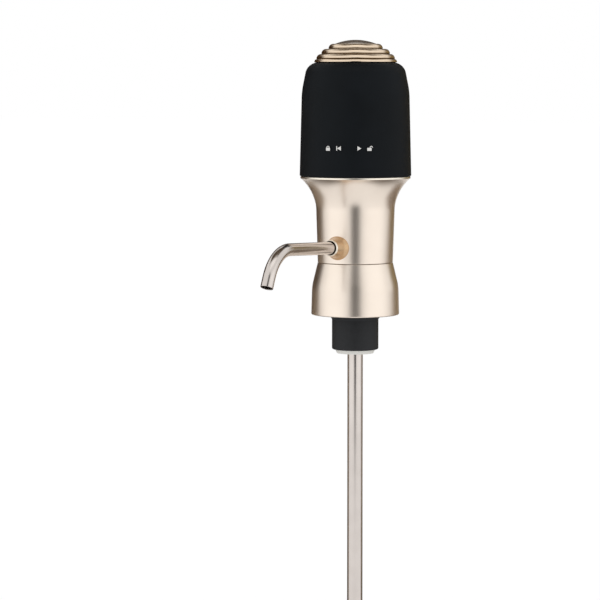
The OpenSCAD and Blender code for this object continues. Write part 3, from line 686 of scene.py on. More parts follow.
socket_in = -box_mm("spout_socket")[1].y / math.cos(SPOUT_RISE)
socket_end = foot_r + SOCKET_OUT
tip_r = SEAL_BORE + SOCKET_LIP
swell_r = tip_r + SOCKET_TAPER + FILLET
cone_r = tip_r + SOCKET_TAPER - FILLET / 3
cone_h = SOCKET_OUT - 2 * FILLET - MOUTH_EDGE
lip_start_r = tip_r + (BRIGHT_LIP - MOUTH_EDGE) * (cone_r - tip_r) / cone_h
socket = turn_piece("turned_socket", [
    (SPIGOT_R, socket_in), (SPIGOT_R, bore_r), (swell_r, bore_r), (swell_r, foot_r),
    (cone_r, foot_r + 2 * FILLET, 3 * FILLET), (lip_start_r, socket_end - BRIGHT_LIP),
    (tip_r, socket_end - MOUTH_EDGE, MOUTH_ROUND), (tip_r - MOUTH_EDGE / 2, socket_end),
    (SEAL_BORE, socket_end, LIP_ROUND), (SEAL_BORE, socket_in + SEAL_SEAT),
    (RUN_FIT_R, socket_in + SEAL_SEAT), (RUN_FIT_R, socket_in + TUBE_STOP),
    (FLOW_R, socket_in + TUBE_STOP), (FLOW_R, socket_in)],
    centre=spout_root, axis=along, side=across, steps=SOCKET_STEPS)
core_r = SPIGOT_R + CORE_WALL
core = turn_piece("neck_core", [(core_r, seam_z), neck_foot, neck_top, (core_r, flare_z)],
                  steps=CORE_STEPS)
cut_away(socket, core)
smooth(socket)
seat(socket, "base", "gold_plated_brass", "spout_socket")

# %% [markdown]
# ## Gold plate on turned brass
# The socket is plated with a thin coat of gold colour, deeper and warmer than the shells. A plated
# piece is smoother than a blasted one, so it needs no bump, and only a slow change of shade where
# fingers have polished it. The lip is cut bright, like the rim.

# %% Finish the socket
# A warm, clear shine that hardly blurs what it mirrors.
gold_plate, tree, sockets, place = start_material("gold_plated_turned_brass", Metallic=1)
wear = add_node(tree, "ShaderNodeTexNoise", {"Vector": place, "Scale": grains(2.5), "Detail": 2})
drift(tree, sockets, wear, ("#c2a17c", "#c8a985"), wear, rough=(0.21, 0.25))


def on_lip(face):
    """True for the faces at the socket's mouth."""
    return (face.center - spout_root).dot(along) / MM > socket_end - BRIGHT_LIP


dress(socket, gold_plate)
repaint(socket, bright_cut, on_lip)

# %% [markdown]
# ## The bent spout
# The spout is drawn stainless tube, bent once round a former. A curve with a round bevel would be
# quicker, but it can't be drawn in for the seal's groove. So it starts as a ring of vertices,
# which is extruded down the socket, drawn in and out again, pushed on to the bend, spun round the
# former and extruded to the tip. Solidify then gives it the tube's thin wall, and a small bevel
# takes the burr off the tip, as a deburring tool does.

# %% Extrude the spout's straight run
SPOUT_R = 2.4
SPOUT_RUN = 62.5
SPOUT_LEAN = math.radians(24.5)
SPOUT_SIDES = 72
BEND_R = 16
GROOVE_R = 1.91
GROOVE_HALF = 0.5


def settle():
    """Put the selected object's place, turn and scale into its mesh."""
    bpy.ops.object.transform_apply(location=True, rotation=True, scale=True)


bend_angle = math.pi / 2 + SPOUT_RISE - SPOUT_LEAN
bend_cut = BEND_R * math.tan(bend_angle / 2)
straight_end = SPOUT_RUN / math.cos(SPOUT_RISE) - bend_cut
seal_at = -seal_y / math.cos(SPOUT_RISE)
tube_start = -box_mm("spout_tube")[1].y / math.cos(SPOUT_RISE)
bpy.ops.object.select_all(action="DESELECT")
bpy.ops.mesh.primitive_circle_add(
    vertices=SPOUT_SIDES, radius=SPOUT_R * MM, location=spout_root + along * tube_start * MM,
    rotation=square_to_spout)
spout = bpy.context.object
spout.name = "bent_spout"
settle()
edit_all()
here = tube_start
for there, factor in ((seal_at - GROOVE_HALF, 1), (seal_at - GROOVE_HALF, GROOVE_R / SPOUT_R),
                      (seal_at + GROOVE_HALF, 1), (seal_at + GROOVE_HALF, SPOUT_R / GROOVE_R),
                      (straight_end, 1)):
    bpy.ops.mesh.extrude_region_move(
        TRANSFORM_OT_translate={"value": along * (there - here) * MM})
    bpy.ops.transform.resize(value=(factor, factor, factor),
                             center_override=spout_root + along * there * MM)
    here = there
print("the straight run is", round(straight_end - tube_start, 1), "mm long")

# %% Bend the spout and give it a wall
SPOUT_WALL = 0.4
SPOUT_TAIL = 14.7
BEND_STEPS = 40
BURR = 0.1
BURR_STEPS = 3
BURR_ANGLE = math.radians(60)

former = spout_root + (along * straight_end - across * BEND_R) * MM
bpy.ops.mesh.spin(steps=BEND_STEPS, angle=bend_angle, center=former, axis=-OUT)
tail_way = Matrix.Rotation(bend_angle, 3, "X") @ along
bpy.ops.mesh.extrude_region_move(
    TRANSFORM_OT_translate={"value": tail_way * (SPOUT_TAIL - bend_cut) * MM})
close_up()
modify(spout, "SOLIDIFY", thickness=SPOUT_WALL * MM, offset=-1)
modify(spout, "BEVEL", width=BURR * MM, segments=BURR_STEPS, limit_method="ANGLE",
       angle_limit=BURR_ANGLE)
smooth(spout)
seat(spout, "spout", "stainless", "spout_tube")
print("spout reaches", [round(x / MM, 1) for x in spout.bound_box[0]])

# %% [markdown]
# ## Bright-drawn stainless steel
# Spout and dip tubes are pulled through a die, which leaves hair-fine lines along them. All the
# tubes lie in one upright plane, so a noise that changes only across that plane follows each of
# them, also round the bend, and no tube needs a pattern of its own. Real drawing lines are a few
# hundredths of a millimetre apart, and are drawn coarser here, so that they show.

# %% Finish the spout and the dip tubes
# A clear grey shine, blurred a little across the lines.
LINE_STRETCH = 0.01

steel, tree, sockets, place = start_material("bright_drawn_stainless", Metallic=1)
drawn = add_node(tree, "ShaderNodeMapping", {"Vector": place,
                                             "Scale": (1, LINE_STRETCH, LINE_STRETCH)})
lines = add_node(tree, "ShaderNodeTexNoise", {"Vector": drawn.outputs["Vector"],
                                              "Scale": grains(0.2), "Detail": 3})
cloud = add_node(tree, "ShaderNodeTexNoise", {"Vector": place, "Scale": grains(6), "Detail": 2})
drift(tree, sockets, cloud, ("#c9c1bb", "#d9d1cb"), lines, rough=(0.12, 0.26))
add_node(tree, "ShaderNodeBump", {"Height": lines.outputs["Fac"], "Distance": 0.003 * MM,
                                  "Strength": 0.3}, {"Normal": sockets["Normal"]})
for piece in (spout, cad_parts["dip_tube_upper"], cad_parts["dip_tube_lower"]):
    dress(piece, steel)

# %% [markdown]
# ## The battery cover
# The black cover is moulded in one piece, with a slight taper so that it leaves its mould, and a
# shoulder that rolls into the top. Three lugs inside catch under the battery tray when it is
# twisted. A subdivided cylinder would give a softer shoulder than the real one, so the shell is
# turned from a closed outline. One lug is spun through its short arc and copied round.

# %% Turn the cover
COVER_WALL = 1.5
COVER_TAPER = 0.8
COVER_ROUND = 4.8
COVER_EDGE = 0.25
COVER_STEPS = 192
SHOULDER_IN = 2.2
SHOULDER_H = 11
SHOULDER_BLEND = 25
MOUTH_R = 6.2

cover_low, cover_high = box_mm("battery_cover")
cover_r = cover_high.x
shoulder_r = cover_r - COVER_TAPER
crown_r = shoulder_r - SHOULDER_IN
shoulder_z = cover_high.z - SHOULDER_H
ceiling_z = cover_high.z - COVER_WALL
cover = turn_piece("moulded_cover", [
    (cover_r, cover_low.z, COVER_EDGE), (shoulder_r, shoulder_z, SHOULDER_BLEND),
    (crown_r, cover_high.z, COVER_ROUND), (MOUTH_R, cover_high.z), (MOUTH_R, ceiling_z),
    (crown_r - COVER_WALL, ceiling_z, COVER_ROUND - COVER_WALL),
    (shoulder_r - COVER_WALL, shoulder_z, SHOULDER_BLEND), (cover_r - COVER_WALL, cover_low.z)],
    steps=COVER_STEPS)
smooth(cover)
print("cover spans", round(cover_low.z, 2), "to", round(cover_high.z, 2), "mm")

# %% Add the cover's lugs
LUGS = 3
LUG_START = math.radians(-90)
LUG_HALF = math.radians(11)
LUG_STEPS = 8
LUG_IN = 18.5
LUG_LIFT = 1.5
LUG_H = 1.5

lug_low = cover_low.z + LUG_LIFT
lug_top = lug_low + LUG_H
lug_out = cover_r - COVER_WALL / 2
first = LUG_START - LUG_HALF
lug = draw_outline("lug", [(LUG_IN, lug_low), (lug_out, lug_low), (lug_out, lug_top),
                           (LUG_IN, lug_top)],
                   Vector(), UP, Vector((math.cos(first), math.sin(first), 0)), True)
bpy.ops.mesh.select_all(action="SELECT")
bpy.ops.mesh.edge_face_add()
bpy.ops.mesh.spin(steps=LUG_STEPS, angle=2 * LUG_HALF, center=(0, 0, 0), axis=UP)
close_up()
lugs = [lug]
for i in range(1, LUGS):
    make_active(lug)
    bpy.ops.object.duplicate()
    lugs.append(bpy.context.object)
    lugs[i].rotation_euler.z = 2 * math.pi * i / LUGS
    settle()
make_active(cover)
for lug in lugs:
    lug.select_set(True)
bpy.ops.object.join()
seat(cover, "cover", "black_plastic", "battery_cover")
print("cover with its lugs has", len(cover.data.polygons), "faces")

# %% [markdown]
# ## Soft-touch black plastic
# The cover is ABS with a soft-touch lacquer, which feels like velvet and shows hardly any shine. A
# black with no shine at all would look like a hole, so a low specular level stays, and a slow haze
# varies it. The lacquer's grain is about 0.15 mm on the real cover, and is drawn at twice that.

# %% Finish the cover
# Nearly black. The lighter, cooler of the two shades is a painted sheen, which a slow haze
# mixes in at random.
soft_black, tree, sockets, place = start_material("soft_touch_black_abs", Specular_IOR_Level=0.08)
grain = add_node(tree, "ShaderNodeTexNoise", {"Vector": place, "Scale": grains(0.3), "Detail": 2})
haze = add_node(tree, "ShaderNodeTexNoise", {"Vector": place, "Scale": grains(14), "Detail": 3})
drift(tree, sockets, haze, ("#0b0e10", "#161a1e"), haze, rough=(0.46, 0.6))
add_node(tree, "ShaderNodeBump", {"Height": grain.outputs["Fac"], "Distance": 0.01 * MM,
                                  "Strength": 0.35}, {"Normal": sockets["Normal"]})
dress(cover, soft_black)

# %% [markdown]
# ## Signs that say which way to twist
# Low on the cover's front, white pad print shows how it locks and opens. Plain signs do that: a
# closed padlock with an arrow against a stop, and an arrow towards an open padlock. A texture
# could show them, but a mesh stays sharp at any distance. Each is drawn flat from planes and
# circles, stood in front of the cover and wrapped onto it. A print is only a film of ink, so it
# gets two hundredths of a millimetre of thickness.

# %% Helpers for flat signs
CORNER_STEPS = 4
RING_SIDES = 32


def plate(x, y, width, height, corner=0):
    """A flat rectangle, with its corners rounded if a size is given."""
    bpy.ops.object.select_all(action="DESELECT")
    bpy.ops.mesh.primitive_plane_add(size=1, location=(x, y, 0))
    shape = bpy.context.object
    shape.scale = (width, height, 1)
    settle()
    if corner:
        edit_all()
        bpy.ops.mesh.bevel(affect="VERTICES", offset_type="OFFSET", offset=corner,
                           segments=CORNER_STEPS)
        bpy.ops.mesh.poke()
        bpy.ops.object.mode_set(mode="OBJECT")
    return shape


def arrow(x, y, size, heading):
    """A filled triangle that points left (-1) or right (1)."""
    bpy.ops.object.select_all(action="DESELECT")
    bpy.ops.mesh.primitive_circle_add(vertices=3, radius=size, fill_type="NGON",
                                      location=(x, y, 0), rotation=(0, 0, -heading * math.pi / 2))
    settle()
    return bpy.context.object


def shackle(x, y, radius, line, legs):
    """Half a ring with two legs, for a padlock."""
    bpy.ops.object.select_all(action="DESELECT")
    bpy.ops.mesh.primitive_circle_add(vertices=RING_SIDES, radius=radius)
    shape = bpy.context.object
    edit_all()
    bpy.ops.mesh.extrude_region_move()
    bpy.ops.transform.resize(value=((radius - line) / radius,) * 2 + (1,),
                             center_override=(0, 0, 0))
    bpy.ops.mesh.select_all(action="SELECT")
    bpy.ops.mesh.bisect(plane_co=(0, 0, 0), plane_no=(0, 1, 0), clear_inner=True)
    for side, leg in zip((-1, 1), legs):
        select_spots(shape, [Vector((side * r, 0, 0)) for r in (radius, radius - line)])
        bpy.ops.mesh.extrude_region_move(TRANSFORM_OT_translate={"value": (0, -leg, 0)})
    bpy.ops.object.mode_set(mode="OBJECT")
    shape.location = (x, y, 0)
    settle()
    return shape


print("a shackle starts as a ring of", RING_SIDES, "vertices")

# %% Draw the signs and stand them in front of the cover
PRINT_Z = 52.6
PRINT_AHEAD = 0.5
SIGN_CUTS = 4
LOCK_W, LOCK_H, LOCK_DROP, LOCK_CORNER = 1.7, 1.15, 0.35, 0.15
SHACKLE_R, SHACKLE_LINE, SHACKLE_LIFT = 0.62, 0.27, 0.3
LEG, OPEN_LEG, OPEN_SHIFT = 0.2, -0.12, 0.72
ARROW_R, ARROW_SHIFT = 0.98, 0.2
STOP_W, STOP_H, STOP_SHIFT = 0.34, 1.7, -0.95


def padlock(shift, last_leg):
    """A rounded body and a shackle, which is shifted to the side on an open lock."""
    return [plate(0, -LOCK_DROP, LOCK_W, LOCK_H, LOCK_CORNER),
            shackle(shift, SHACKLE_LIFT, SHACKLE_R, SHACKLE_LINE, (LEG, last_leg))]


def stand_on_cover(name, shapes, degrees):
    """Join flat shapes in millimetres and stand them in front of the cover."""
    for shape in shapes:
        shape.select_set(True)
    bpy.context.view_layer.objects.active = shapes[0]
    bpy.ops.object.join()
    sign = bpy.context.object
    sign.name = name
    edit_all()
    bpy.ops.mesh.subdivide(number_cuts=SIGN_CUTS)
    bpy.ops.object.mode_set(mode="OBJECT")
    turn = math.radians(degrees)
    ahead = Vector((math.cos(turn), math.sin(turn), 0)) * (cover_r + PRINT_AHEAD)
    sign.scale = (MM, MM, MM)
    sign.rotation_euler = (math.pi / 2, 0, turn + math.pi / 2)
    sign.location = (ahead + UP * PRINT_Z) * MM
    make_active(sign)
    settle()
    return sign


signs = [
    stand_on_cover("closed_padlock", padlock(0, LEG), -90.2),
    stand_on_cover("arrow_to_stop", [plate(STOP_SHIFT, 0, STOP_W, STOP_H),
                                     arrow(ARROW_SHIFT, 0, ARROW_R, -1)], -78.3),
    stand_on_cover("arrow_to_open", [arrow(0, 0, ARROW_R, 1)], -58.8),
    stand_on_cover("open_padlock", padlock(OPEN_SHIFT, OPEN_LEG), -48.2)]
print("signs:", ", ".join(sign.name for sign in signs))

# %% Wrap the signs onto the cover
INK_GAP = 0.01
INK_T = 0.02

make_active(signs[0])
for sign in signs[1:]:
    sign.select_set(True)
bpy.ops.object.join()
cover_print = bpy.context.object
cover_print.name = "cover_print"
modify(cover_print, "SHRINKWRAP", target=cover, wrap_method="NEAREST_SURFACEPOINT",
       wrap_mode="OUTSIDE", offset=INK_GAP * MM)
modify(cover_print, "SOLIDIFY", thickness=INK_T * MM, offset=1)
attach(cover_print, "cover")
print("print has", len(cover_print.data.polygons), "faces")

# %% [markdown]
# ## Pad-printing ink
# A soft silicone pad picks the ink up from an etched plate and rolls it onto the curved cover. The
# film is thick enough to hide the black, but a little uneven where the pad pressed it. A pure
# white would look cut out, so a noise of half a millimetre thins it here and there.

# %% Ink the signs
# Chalky white, without shine.
ink, tree, sockets, place = start_material("white_pad_print_ink", Specular_IOR_Level=0.3,
                                           Roughness=0.5)
press = add_node(tree, "ShaderNodeTexNoise", {"Vector": place, "Scale": grains(0.5), "Detail": 3})
add_node(tree, "ShaderNodeMix", {0: press.outputs["Fac"], MIX_A: linear("#d5d4d0"),
                                 MIX_B: linear("#f4f3f0")},
         {MIX_OUT: sockets["Base Color"]}, data_type="RGBA")
dress(cover_print, ink)

# %% [markdown]
# ## The stepped bezel
# A gold ring frames the button. It climbs in four steps, each drawn in further than the last, so
# it seems to swell like a cushion. Four rings stacked up would do, but they would leave faces
# inside. So a loop works out one outline: a fine groove, an upright foot and a rounded ridge for
# each step. The rounding matters most, because it draws the bright lines.

# %% Work out the bezel's steps
STEPS = 4
STEP_SHORT = 0.35
STEP_SWELL = 1.7
STEP_LEAN = 0.45
GROOVE_IN = 0.2
# The upright foot above each groove, which gets the painted shade along with the groove.
SHADED_FOOT_H = 0.45
RIDGE_ROUND = 1.6
RIDGE_SHARE = 1.2
BUTTON_R = 8
BUTTON_PLAY = 0.15
BEZEL_IN = 9.2
BEZEL_WALL = 1.2
BEZEL_MOUTH = BUTTON_R + BUTTON_PLAY

bezel_high = box_mm("button_bezel")[1]
base_r = bezel_high.x
top_r = BEZEL_IN + BEZEL_WALL
bezel_h = bezel_high.z - cover_high.z


def step_r(i):
    """Radius of a step, drawn in faster towards the top; the last one is the button's mouth."""
    if i == STEPS:
        return BEZEL_MOUTH + GROOVE_IN
    return base_r - (base_r - top_r) * (i / (STEPS - 1)) ** STEP_SWELL


def step_z(i):
    """Height of a step's foot; the lowest step is shorter than the others."""
    return cover_high.z + bezel_h * max(0, i - STEP_SHORT) / (STEPS - STEP_SHORT)


def bezel_step(i):
    """Groove, foot and rounded ridge of one step."""
    r, z, top = step_r(i), step_z(i), step_z(i + 1)
    tread = r - STEP_LEAN - (step_r(i + 1) - GROOVE_IN)
    return [(r - GROOVE_IN, z), (r, z + GROOVE_IN, FINE_EDGE), (r, z + SHADED_FOOT_H),
            (r - STEP_LEAN, top, min(RIDGE_ROUND, RIDGE_SHARE * tread))]


print("radii of the steps:", [round(step_r(i), 2) for i in range(STEPS)])

# %% Turn the bezel
BEZEL_EDGE = 0.15
LIP_T = 1.5
KEY_OUT, KEY_IN, KEY_T, KEY_PLAY = 1.7, 2.9, 0.8, 0.05

lip_z = bezel_high.z - LIP_T
key_z = cover_high.z - KEY_T
key_out = base_r - KEY_OUT - KEY_PLAY
key_in = base_r - KEY_IN + KEY_PLAY
bezel = turn_piece("stepped_bezel", [
    *[corner for i in range(STEPS) for corner in bezel_step(i)],
    (BEZEL_MOUTH, bezel_high.z, BEZEL_EDGE), (BEZEL_MOUTH, lip_z), (BEZEL_IN, lip_z),
    (BEZEL_IN, cover_high.z), (key_in, cover_high.z), (key_in, key_z), (key_out, key_z),
    (key_out, cover_high.z)])
smooth(bezel)
seat(bezel, "cover", "bezel_gold", "button_bezel")

# %% [markdown]
# ## Plating, with painted shade in the grooves
# The ring is moulded, plated in a gold colour and polished on a wheel. Deep grooves would be dark
# by themselves, but these are shallow, so their faces get a dark brown of their own. It is painted
# shade, and it makes the ridges stand out.

# %% Finish the bezel
UPRIGHT = 0.2

# Polished plating: smooth and bright, with a slightly cloudy lacquer.
bezel_gold, tree, sockets, place = start_material("lacquered_gold_plating", Metallic=1)
cloud = add_node(tree, "ShaderNodeTexNoise", {"Vector": place, "Scale": grains(2.5), "Detail": 3})
drift(tree, sockets, cloud, ("#dfc9ae", "#ead8c1"), cloud, rough=(0.17, 0.27))
dress(bezel, bezel_gold)

# Painted shade for the grooves: dark, dull and brown, mottled a little at random.
groove_shade_paint, tree, sockets, place = start_material("painted_shade_in_grooves", Metallic=1)
groove_shade_mottle = add_node(tree, "ShaderNodeTexNoise", {"Vector": place, "Scale": grains(1.5), "Detail": 3})
drift(tree, sockets, groove_shade_mottle, ("#5a452c", "#6e5639"), groove_shade_mottle, rough=(0.35, 0.5))


def in_groove(face):
    """True for the faces that get painted shade: each groove and its foot, from the second step
    on.
    """
    height, out = face.center.z / MM, from_axis(face.center)
    return face.normal.z < UPRIGHT and any(
        step_z(i) < height < step_z(i) + SHADED_FOOT_H and out > step_r(i) - GROOVE_IN
        for i in range(1, STEPS))


# Paint the shade onto the grooves and the feet above them.
repaint(bezel, groove_shade_paint, in_groove)

# %% [markdown]
# ## The push button
# The button is a shallow dome, a cap of a large sphere. Starting from a sphere and cutting it off
# would waste most of its faces, so the arc is drawn as points of the circle and turned. A skirt
# and a flange below it keep it in the bezel, and a post in its middle presses the switch.

# %% Turn the button
DOME_POINTS = 16
BUTTON_STEPS = 128
SKIN = 1
POST_R = 2.25
FLANGE_H = 1.7
FLANGE_SLACK = 0.05

cap_low, cap_high = box_mm("button_cap")
flange_r = cap_high.x
rise = cap_high.z - bezel_high.z
dome_r = (BUTTON_R ** 2 + rise ** 2) / (2 * rise)
dome_edge = math.asin(BUTTON_R / dome_r)
arc = [dome_edge * i / DOME_POINTS for i in range(DOME_POINTS + 1)]
flange_z = min(vertex.co.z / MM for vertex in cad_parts["button_cap"].data.vertices
               if from_axis(vertex.co) > flange_r - FLANGE_SLACK)
flange_top = flange_z + FLANGE_H
under_z = bezel_high.z - SKIN
button = turn_piece("domed_button", [
    *[(dome_r * math.sin(a), cap_high.z - dome_r * (1 - math.cos(a))) for a in arc],
    (BUTTON_R, flange_top), (flange_r, flange_top), (flange_r, flange_z),
    (BUTTON_R - SKIN, flange_z), (BUTTON_R - SKIN, under_z), (POST_R, under_z),
    (POST_R, cap_low.z), (0, cap_low.z)], closed=False, steps=BUTTON_STEPS)
smooth(button)
seat(button, "button", "button_gold", "button_cap")

# %% [markdown]
# ## Satin plating
# The button is plated in a greyer champagne tone, over a surface that was brushed on a soft wheel.
# Brushing in one direction would call for an anisotropic shader, but a soft wheel leaves no clear
# direction. So a fine haze in the roughness is enough to blur what the dome mirrors.

# %% Finish the button
# Greyer than the ring round it, with a soft highlight.
satin, tree, sockets, place = start_material("satin_champagne_plating", Metallic=1)
haze = add_node(tree, "ShaderNodeTexNoise", {"Vector": place, "Scale": grains(0.35), "Detail": 3})
drift(tree, sockets, haze, ("#aca298", "#bcb2a8"), haze, rough=(0.14, 0.22))
dress(button, satin)

# %% [markdown]
# ## The plug
# The plug is moulded silicone: a flange to sit on, and below it three fins that bend against a
# bore. The fins could be rings added one by one, but a mould makes them in one with the plug, so
# they are corners of the same outline. Rubber has no sharp edges, so each gets a small round.

# %% Turn the plug
FIN_COUNT = 3
FIN_PITCH = 4.2
FIN_R = 9.9
FIN_EDGE = 0.3
FIN_ROUND = 0.12
PLUG_R = 9
PLUG_ROUND = 0.6
SEAT_IN = 10.3
SEAT_ROUND = 0.15
SOFT_ROUND = 0.2

plug_low, plug_high = box_mm("bottle_stopper")
seat_r = plug_high.x
recess_z = FLANGE_T / 3


def fin(i):
    """Upper slope, rounded tip and lower slope of one fin."""
    z = -(i + 1) * FIN_PITCH
    return [(PLUG_R, z + 3 * FIN_EDGE, SOFT_ROUND), (FIN_R, z + FIN_EDGE, FIN_ROUND),
            (FIN_R, z, FIN_ROUND), (PLUG_R, z - 4 * FIN_EDGE, FIN_EDGE)]


plug = turn_piece("silicone_plug", [
    (SLEEVE_R, FLANGE_T), (seat_r, FLANGE_T, SOFT_ROUND), (seat_r, 0, SOFT_ROUND),
    (SEAT_IN, 0, SEAT_ROUND), (SEAT_IN, recess_z), (PLUG_R, recess_z),
    *[corner for i in range(FIN_COUNT) for corner in fin(i)],
    (PLUG_R, plug_low.z, PLUG_ROUND), (SLEEVE_R, plug_low.z)])
smooth(plug)
seat(plug, "base", "black_silicone", "bottle_stopper")

# %% [markdown]
# ## Moulded black silicone
# Plug, seal and diaphragm are silicone, pressed in a mould and dusted with a fine powder so that
# they don't stick. A glossy black would look like hard plastic. So the roughness stays high and
# cloudy, and a shallow bump gives the orange peel that a spark-cut mould leaves.

# %% Finish the silicone pieces
# Dull and slightly dusty, with soft highlights.
rubber, tree, sockets, place = start_material("moulded_black_silicone", Specular_IOR_Level=0.3)
dust = add_node(tree, "ShaderNodeTexNoise", {"Vector": place, "Scale": grains(1.5), "Detail": 4})
peel = add_node(tree, "ShaderNodeTexNoise", {"Vector": place, "Scale": grains(0.6), "Detail": 2})
drift(tree, sockets, dust, ("#151617", "#25272a"), dust, rough=(0.5, 0.68))
add_node(tree, "ShaderNodeBump", {"Height": peel.outputs["Fac"], "Distance": 0.02 * MM,
                                  "Strength": 0.4}, {"Normal": sockets["Normal"]})
for piece in (plug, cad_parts["spout_seal"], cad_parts["pump_diaphragm"]):
    dress(piece, rubber)

# %% [markdown]
# ## Finishes of the pieces inside
# The pieces inside keep the construction's own meshes, which are exact, and only need a finish. A
# list gives each one its two shades, its gloss, the size of its grain and the height of its bump,
# because moulded plastics, stampings and rubbers differ mostly in those. Wound, printed and
# sleeved pieces come after it with patterns of their own.

# %% Finish the plain pieces inside
def finish_inside(name, shades, rough, grain_mm, bump_mm, nodes, **values):
    """A finish of two shades with a fine grain, for CAD nodes that keep their shape."""
    material, tree, sockets, place = start_material(name, **values)
    grain = add_node(tree, "ShaderNodeTexNoise", {"Vector": place, "Scale": grains(grain_mm),
                                                  "Detail": 3})
    drift(tree, sockets, grain, shades, grain, rough)
    add_node(tree, "ShaderNodeBump", {"Height": grain.outputs["Fac"], "Distance": bump_mm * MM,
                                      "Strength": 0.4}, {"Normal": sockets["Normal"]})
    for node in nodes.split():
        dress(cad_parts[node], material)
    return material


# Food-grade polypropylene: milky white, waxy, nearly even.
finish_inside("moulded_white_polypropylene", ("#dedcd4", "#efeee9"), (0.32, 0.42), 0.8, 0.008,
              "wine_manifold air_inlet dip_tube_guide dip_tube_foot pump_eccentric")
# Coloured silicone: soft red, dull.
finish_inside("moulded_red_silicone", ("#a8261f", "#c0382d"), (0.45, 0.6), 0.5, 0.01,
              "check_valve", Specular_IOR_Level=0.35)
# Extruded silicone hose: see-through, slightly cloudy.
finish_inside("extruded_clear_silicone", ("#d9dedd", "#e9eceb"), (0.2, 0.3), 0.7, 0.006,
              "air_hose", Transmission_Weight=0.6, IOR=1.41)
# Nylon filled with short fibres: dark grey with pale flecks.
finish_inside("glass_filled_nylon", ("#232427", "#34363a"), (0.42, 0.58), 0.25, 0.012,
              "battery_tray pump_cradle pump_head pump_valve_cap motor_end_cap switch_body")
# Zinc-plated steel: cool bluish grey, with the soft spangle of the plating.
finish_inside("zinc_plated_steel", ("#a9adb0", "#c3c7c9"), (0.22, 0.36), 1.2, 0.003,
              "motor_can tray_screws", Metallic=1)
# Sintered ferrite: dark, dry and grainy.
finish_inside("sintered_ferrite", ("#2b2a2c", "#3a393b"), (0.6, 0.78), 0.2, 0.015,
              "motor_magnets", Specular_IOR_Level=0.4)
# Stamped brass: yellow, with fine rolling grain.
finish_inside("stamped_brass", ("#bf9a4a", "#d4b264"), (0.2, 0.34), 0.4, 0.003,
              "motor_terminals", Metallic=1)
# PVC insulation: red, even, a little glossy.
finish_inside("extruded_red_pvc", ("#a51d1b", "#bb2a25"), (0.3, 0.4), 0.6, 0.005, "motor_leads")
# Acetal: slippery red, a touch glossier than the silicone.
finish_inside("moulded_red_acetal", ("#b3231d", "#c62f27"), (0.28, 0.36), 0.6, 0.004,
              "switch_plunger")
# Nickel-plated spring steel, for strip and wire: bright and slightly warm.
nickel = finish_inside("nickel_plated_spring_steel", ("#b9b3a6", "#d0cbc0"), (0.16, 0.28), 0.5,
                       0.002, "lower_contacts upper_contacts", Metallic=1)

# %% [markdown]
# ## The spring under the button
# A coil of thin wire lifts the button again. A coiling machine pushes the wire against a pin until
# it curls. Here a small ring, the wire's section, is carried round and up by a screw modifier, and
# its two ends are closed. The coil shortens when the button goes down, and a stiff copy would cut
# through the button. Here it rides on the cover, with a mesh of its own.

# %% Coil the spring
SPRING_WIRE = 0.6
SPRING_TURNS = 3
WIRE_SIDES = 16
TURN_STEPS = 64

spring_low, spring_high = box_mm("button_spring")
spring_h = spring_high.z - spring_low.z
wire_r = SPRING_WIRE / 2
bpy.ops.object.select_all(action="DESELECT")
bpy.ops.mesh.primitive_circle_add(
    vertices=WIRE_SIDES, radius=wire_r * MM, rotation=(math.pi / 2, 0, 0),
    location=Vector((spring_high.x - wire_r, 0, spring_low.z + wire_r)) * MM)
spring = bpy.context.object
spring.name = "coiled_spring"
settle()
modify(spring, "SCREW", axis="Z", angle=2 * math.pi, iterations=SPRING_TURNS, steps=TURN_STEPS,
       screw_offset=(spring_h - SPRING_WIRE) / SPRING_TURNS * MM)
edit_all()
bpy.ops.mesh.fill_holes(sides=WIRE_SIDES)
close_up()
smooth(spring)
dress(spring, nickel)
seat(spring, "cover", "contact_nickel", "button_spring")
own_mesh(spring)

# %% [markdown]
# ## Patterned pieces inside
# Three pieces need a pattern. The motor's rotor is a stack of steel sheets wound with lacquered
# copper. The switch board is green solder mask over copper tracks. The cells wear a printed sleeve
# between bare steel ends. Pictures could show all this, but patterns placed with Object
# coordinates in millimetres stay sharp and need no files.

# %% Finish the rotor
# Bands of bare steel and brown copper. A sheet is 0.5 mm thick, too fine to show, so one band
# stands for about six of them.
SHEETS_MM = 3.14

rotor, tree, sockets, place = start_material("wound_rotor", Metallic=1)
sheets = add_node(tree, "ShaderNodeTexWave", {"Vector": place, "Scale": waves(SHEETS_MM)},
                  bands_direction="Y")
drift(tree, sockets, sheets, ("#8f4f2a", "#b9b6b2"), sheets, rough=(0.22, 0.4))
dress(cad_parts["motor_armature"], rotor)

# %% Finish the switch board
# Glossy green lacquer, raised a little over the tracks. A brick is half a texture unit wide.
TRACK_PITCH = 2.5
TRACK_LINE = 0.15
BRICK_W = 0.5

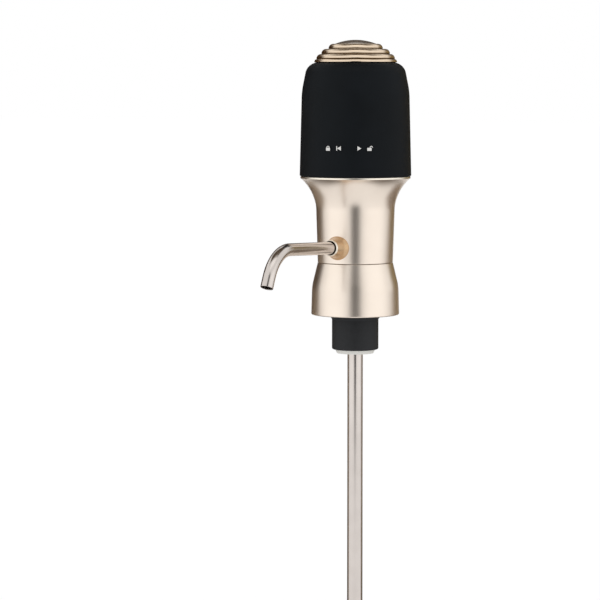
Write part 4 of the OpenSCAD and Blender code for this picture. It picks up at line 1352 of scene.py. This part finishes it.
board, tree, sockets, place = start_material("solder_masked_board", Roughness=0.3)
tracks = add_node(tree, "ShaderNodeTexBrick",
                  {"Vector": place, "Scale": BRICK_W * grains(TRACK_PITCH),
                   "Mortar Size": BRICK_W * TRACK_LINE / TRACK_PITCH,
                   "Color1": linear("#1d5a35"), "Color2": linear("#226540"),
                   "Mortar": linear("#3f8a55")}, {"Color": sockets["Base Color"]})
add_node(tree, "ShaderNodeBump", {"Height": tracks.outputs["Fac"], "Distance": 0.03 * MM,
                                  "Strength": 0.5}, {"Normal": sockets["Normal"]})
dress(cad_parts["switch_board"], board)

# %% Finish the cells
# A satin blue sleeve with two pale rings, shrunk over steel that stays bare at both ends.
CELLS = 6
CELL_BARE = 0.9
STEEL, BLUE, PALE = "#c9c9c6", "#2f4658", "#e4e2dc"

sleeve, tree, sockets, place = start_material("printed_cell_sleeve")
cell_low, cell_high = box_mm("battery_cell_1")
bare = CELL_BARE / (cell_high.z - cell_low.z)
bands = ((0, STEEL), (bare, BLUE), (0.2, PALE), (0.23, BLUE), (0.77, PALE), (0.8, BLUE),
         (1 - 2 * bare, STEEL))
height = add_node(tree, "ShaderNodeSeparateXYZ", {"Vector": place}).outputs["Z"]
level = add_node(tree, "ShaderNodeMapRange", {"Value": height, "From Min": cell_low.z * MM,
                                              "From Max": cell_high.z * MM})
ramp = add_node(tree, "ShaderNodeValToRGB", {"Fac": level.outputs["Result"]},
                {"Color": sockets["Base Color"]}).color_ramp
ramp.interpolation = "CONSTANT"
for at, code in bands[2:]:
    ramp.elements.new(at)
for stop, (at, code) in zip(ramp.elements, bands):
    stop.position = at
    stop.color = linear(code)
middle = add_node(tree, "ShaderNodeMath", {0: level.outputs["Result"], 1: 0.5, 2: 0.5 - bare},
                  operation="COMPARE")
add_node(tree, "ShaderNodeMapRange", {"Value": middle.outputs["Value"], "To Min": 1, "To Max": 0},
         {"Result": sockets["Metallic"]})
scuff = add_node(tree, "ShaderNodeTexNoise", {"Vector": place, "Scale": grains(1.5), "Detail": 3})
add_node(tree, "ShaderNodeMapRange", {"Value": scuff.outputs["Fac"], "To Min": 0.2,
                                      "To Max": 0.36}, {"Result": sockets["Roughness"]})
for number in range(1, CELLS + 1):
    dress(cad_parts[f"battery_cell_{number}"], sleeve)
